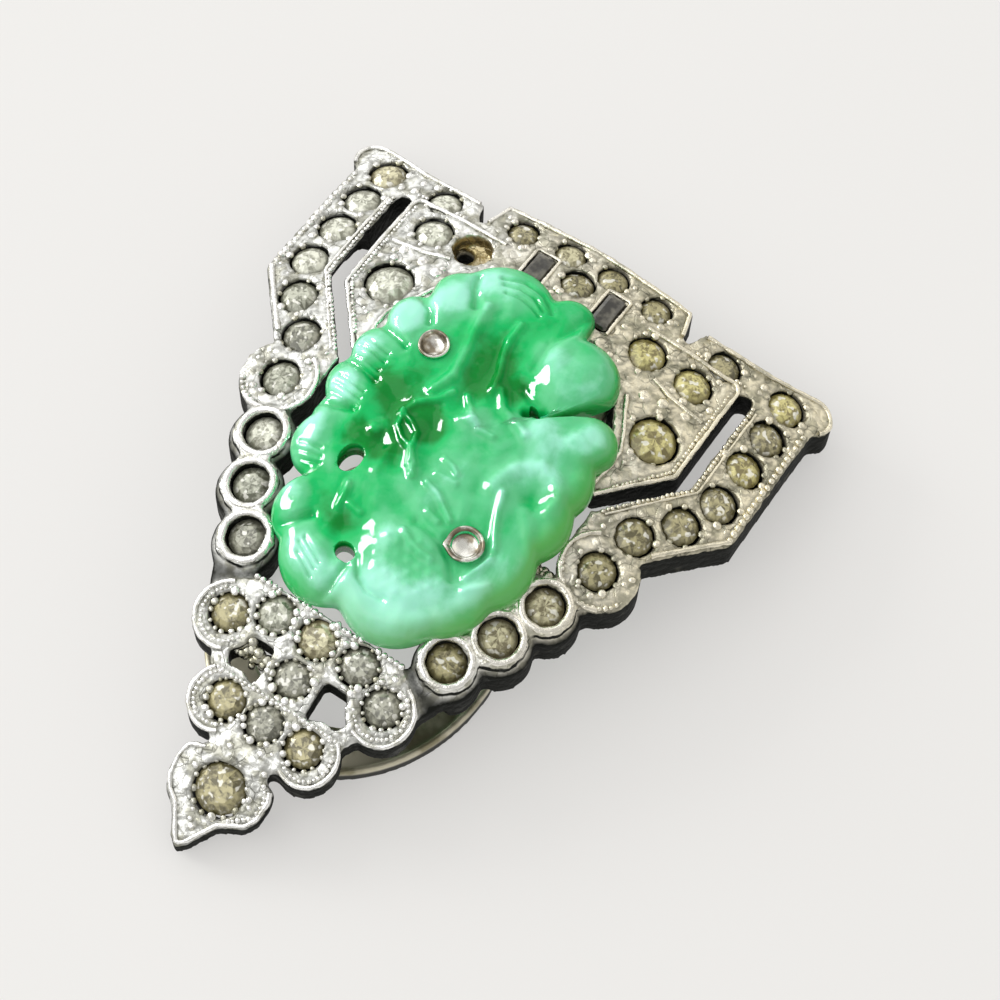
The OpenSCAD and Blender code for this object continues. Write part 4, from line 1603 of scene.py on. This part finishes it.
    def paint(self, piece: Piece, x: np.ndarray, y: np.ndarray, top: np.ndarray, inset: np.ndarray) -> None:
        """Stores how milky the glass is, with painted light where the carving stands high and painted shade
        in its hollows, and the painted shade on its right edge.

        Args:
            piece: The plaque.
            x: Places across.
            y: Places along.
            top: Heights of the carving.
            inset: Distances inside the outline.
        """
        # Painted light and shade: the glass turns paler where the carving stands high and deeper green in its
        # hollows; the clouds are its own milkiness.
        milk_and_height_shade = 0.45 + 0.58 * np.clip(top - self.ground, -0.6, 0.5)
        for cx, cy, radius, more in self.clouds:
            milk_and_height_shade += more * np.exp(-((x - cx) ** 2 + (y - cy) ** 2) / radius ** 2)
        # Painted shade: the rolled-off right and lower edge turns yellow-green.
        away = np.hypot(x - self.centre[0], y - self.centre[1]) + 1e-6
        aside = np.clip(((x - self.centre[0]) * 0.9 - (y - self.centre[1]) * 0.43) / away, 0, 1)
        store(piece, "milk_and_height_shade", milk_and_height_shade)
        store(piece, "right_edge_shade", 0.95 * aside * np.exp(-((inset / 1.3) ** 2)))

    def pierce(self, piece: Piece, x: float, y: float, across: float, along: float, turn: float) -> None:
        """Cuts an oval hole through the plaque.

        Args:
            piece: The plaque.
            x: The hole's place across.
            y: Its place along.
            across: Half its width.
            along: Half its length.
            turn: Its turn in degrees.
        """
        deselect()
        middle = (x * MM, y * MM, 0.01)
        bpy.ops.mesh.primitive_cylinder_add(vertices=48, radius=MM, depth=12 * MM, location=middle)
        rod = bpy.context.object
        bpy.ops.transform.resize(value=(across, along, 1.0))
        bpy.ops.transform.rotate(value=math.radians(turn), orient_axis="Z", center_override=middle)
        add_modifier(piece, "BOOLEAN", {"object": rod, "operation": "DIFFERENCE", "solver": "MANIFOLD"})
        bpy.data.objects.remove(rod)

    def dress(self, shop: Workshop) -> None:
        """Builds the plaque and hands it over."""
        shop.deliver(self.build(), GreenGlass(), FRONT, ("plaque",))


@dataclass
class TubeRivet:
    """A tube rivet with a rolled upper rim round a shallow dimple. Its radii are millimetres.

    The nick draws the rim out to a point by a share of its radius. Its bearing and width are degrees.
    """

    node: str
    radius: float
    nick: float
    nick_bearing: float = -147.0
    nick_width: float = 13.0
    tube: float = 0.84
    foot: float = 1.3
    steps: int = 64

    def profile(self, low: float, high: float) -> list[Plan]:
        """Half section of the rivet, from its dimple's middle to its foot's middle.

        Args:
            low: Height of its foot.
            high: Height of its rim.

        Returns:
            Radius and height of each corner.
        """
        rim = (
            (0.0, 0.62), (0.45, 0.6), (0.66, 0.5), (0.76, 0.26), (0.83, 0.05), (0.89, 0.0), (0.96, 0.03),
            (1.0, 0.11), (0.99, 0.22), (0.92, 0.32),
        )
        return [
            *((share * self.radius, high - down) for share, down in rim),
            (self.tube, high - 0.4), (self.tube, low + 0.36), (self.foot - 0.04, low + 0.3),
            (self.foot, low + 0.16), (self.foot - 0.08, low + 0.03), (self.foot - 0.2, low), (0.0, low),
        ]

    def build(self) -> Piece:
        """Spins the half section to a rivet.

        Returns:
            The rivet.
        """
        foot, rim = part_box(self.node)
        corners = self.profile(foot.z / MM, rim.z / MM)
        mesh = bpy.data.meshes.new(self.node)
        edges = [(i, i + 1) for i in range(len(corners) - 1)]
        mesh.from_pydata([(r * MM, 0.0, z * MM) for r, z in corners], edges, [])
        piece = placed(self.node, mesh)
        edit(piece)
        bpy.ops.mesh.spin(steps=self.steps, angle=math.tau, center=(0, 0, 0), axis=(0, 0, 1))
        bpy.ops.mesh.select_all(action="SELECT")
        bpy.ops.mesh.remove_doubles(threshold=2e-6)
        bpy.ops.mesh.normals_make_consistent(inside=False)
        bpy.ops.object.mode_set(mode="OBJECT")
        for corner in piece.data.vertices:
            bearing = math.degrees(math.atan2(corner.co.y, corner.co.x)) - self.nick_bearing
            off = (bearing + 180) % 360 - 180
            if corner.co.z > rim.z - 0.5 * MM:
                wobble = 0.015 * math.sin(3 * math.radians(off))
                corner.co.xy *= 1 + self.nick * math.exp(-((off / self.nick_width) ** 2)) + wobble
        piece.location = ((foot.x + rim.x) / 2, (foot.y + rim.y) / 2, 0.0)
        return settle(piece, f"tube_{self.node}", 60.0)

    def dress(self, shop: Workshop) -> None:
        """Builds the rivet and hands it over."""
        finish = SheetMetal("rivet_metal", (0.84, 0.83, 0.77), (0.27, 0.23, 0.17), 0.16, 1.1)
        shop.deliver(self.build(), finish, FRONT, (self.node,))


@dataclass
class ClipLever:
    """The lever of thin sheet, its edges and corners eased."""

    voxel: float = 0.16

    def build(self) -> Piece:
        """Softens a copy of the lever's solid."""
        return settle(softened("lever", "clip_lever", self.voxel, 4), "clip_lever")

    def dress(self, shop: Workshop) -> None:
        """Builds the lever and hands it over."""
        shop.deliver(self.build(), LeverSheet(), LEVER, ("lever",))


@dataclass(frozen=True)
class Lamp:
    """A soft square light: name, direction from the clip, side in metres, power in watts, and colour."""

    name: str
    towards: tuple[float, float, float]
    size: float
    power: float
    colour: Colour = (1.0, 1.0, 1.0)

    def build(self, distance: float) -> Piece:
        """Adds the light, turned to the clip.

        Args:
            distance: Distance from the clip in metres.

        Returns:
            The light.
        """
        data = bpy.data.lights.new(self.name, "AREA")
        data.shape = "SQUARE"
        data.size = self.size
        data.energy = self.power
        data.color = self.colour
        light = placed(self.name, data)
        direction = Vector(self.towards).normalized()
        turn = direction.to_track_quat("Z", "Y").to_matrix().to_4x4()
        light.matrix_world = Matrix.Translation(direction * distance) @ turn
        return light


@dataclass
class Studio:
    """Floor, camera and lights. The floor's side and the lamps' distance are metres, the rest millimetres."""

    floor_size: float = 3.0
    lens: float = 102.7
    sensor: float = 36.0
    camera_at: tuple[float, float, float] = (43.038, -68.359, 181.332)
    right: tuple[float, float, float] = (0.83581, 0.54841, 0.02577)
    up: tuple[float, float, float] = (-0.51009, 0.75832, 0.4059)
    distance: float = 0.9
    lamps: tuple[Lamp, ...] = (
        Lamp("window", (-0.93, -0.15, 0.42), 0.34, 3.1, (1.0, 0.99, 0.97)),
        Lamp("softbox", (-0.72, 0.5, 0.55), 0.9, 2.0),
        Lamp("overhead", (-0.5, -0.5, 1.0), 0.9, 3.2),
        Lamp("fill", (0.35, 0.75, 0.7), 0.7, 0.8, (1.0, 0.95, 0.84)),
    )
    glass_lamp: Lamp = Lamp("glass_shine", (-0.93, -0.2, 0.5), 0.55, 46.0, (0.97, 1.0, 1.0))
    air_colour: Colour = (0.98, 0.97, 0.95)
    air_strength: float = 0.6

    def build_floor(self, shop: Workshop) -> None:
        """Lays the floor at the resting plane.

        Args:
            shop: Makes its finish.
        """
        deselect()
        bpy.ops.mesh.primitive_plane_add(size=self.floor_size)
        floor = settle(bpy.context.object, "floor")
        floor.data.materials.append(shop.finish(FloorPaper()))

    def build_camera(self) -> None:
        """Sets the camera at the photograph's viewing angle."""
        data = bpy.data.cameras.new("camera")
        data.lens = self.lens
        data.sensor_width = self.sensor
        data.clip_start = 0.01
        camera = placed("camera", data)
        right, up = Vector(self.right).normalized(), Vector(self.up).normalized()
        turn = Matrix((right, up, right.cross(up).normalized())).transposed().to_4x4()
        camera.matrix_world = Matrix.Translation(Vector(self.camera_at) * MM) @ turn
        bpy.context.scene.camera = camera

    def build_lights(self) -> None:
        """Sets the soft studio light, and the shine that only the plaque takes."""
        for lamp in self.lamps:
            lamp.build(self.distance)
        shine = self.glass_lamp.build(self.distance)
        shine.visible_diffuse = False
        glass = bpy.data.collections.new("polished_glass")
        glass.objects.link(bpy.data.objects["carved_plaque"])
        shine.light_linking.receiver_collection = glass
        world = bpy.data.worlds.new("studio_air")
        world.use_nodes = True
        air = world.node_tree.nodes["Background"]
        air.inputs["Color"].default_value = (*self.air_colour, 1.0)
        air.inputs["Strength"].default_value = self.air_strength
        bpy.context.scene.world = world
        bpy.context.scene.view_settings.view_transform = "Standard"

    def build(self, shop: Workshop) -> None:
        """Builds the whole studio.

        Args:
            shop: Makes the floor's finish.
        """
        self.build_floor(shop)
        self.build_camera()
        self.build_lights()


def main() -> None:
    """Builds and dresses every piece."""
    logging.basicConfig(level=logging.INFO, format="%(name)s: %(message)s")
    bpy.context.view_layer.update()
    shop = Workshop()
    stones = Stones()
    stones.dress(shop)
    relief = Relief(stones)
    FrontCasting(relief).dress(shop)
    relief.dress(shop)
    CarvedPlaque().dress(shop)
    TubeRivet("rivet_upper", 1.08, 0.0).dress(shop)
    TubeRivet("rivet_lower", 1.3, 0.14).dress(shop)
    ClipLever().dress(shop)
    shop.repaint("hinge_pin", SheetMetal("pin_steel", (0.55, 0.53, 0.5), (0.25, 0.23, 0.2), 0.25))
    Studio().build(shop)


if __name__ == "__main__":
    main()
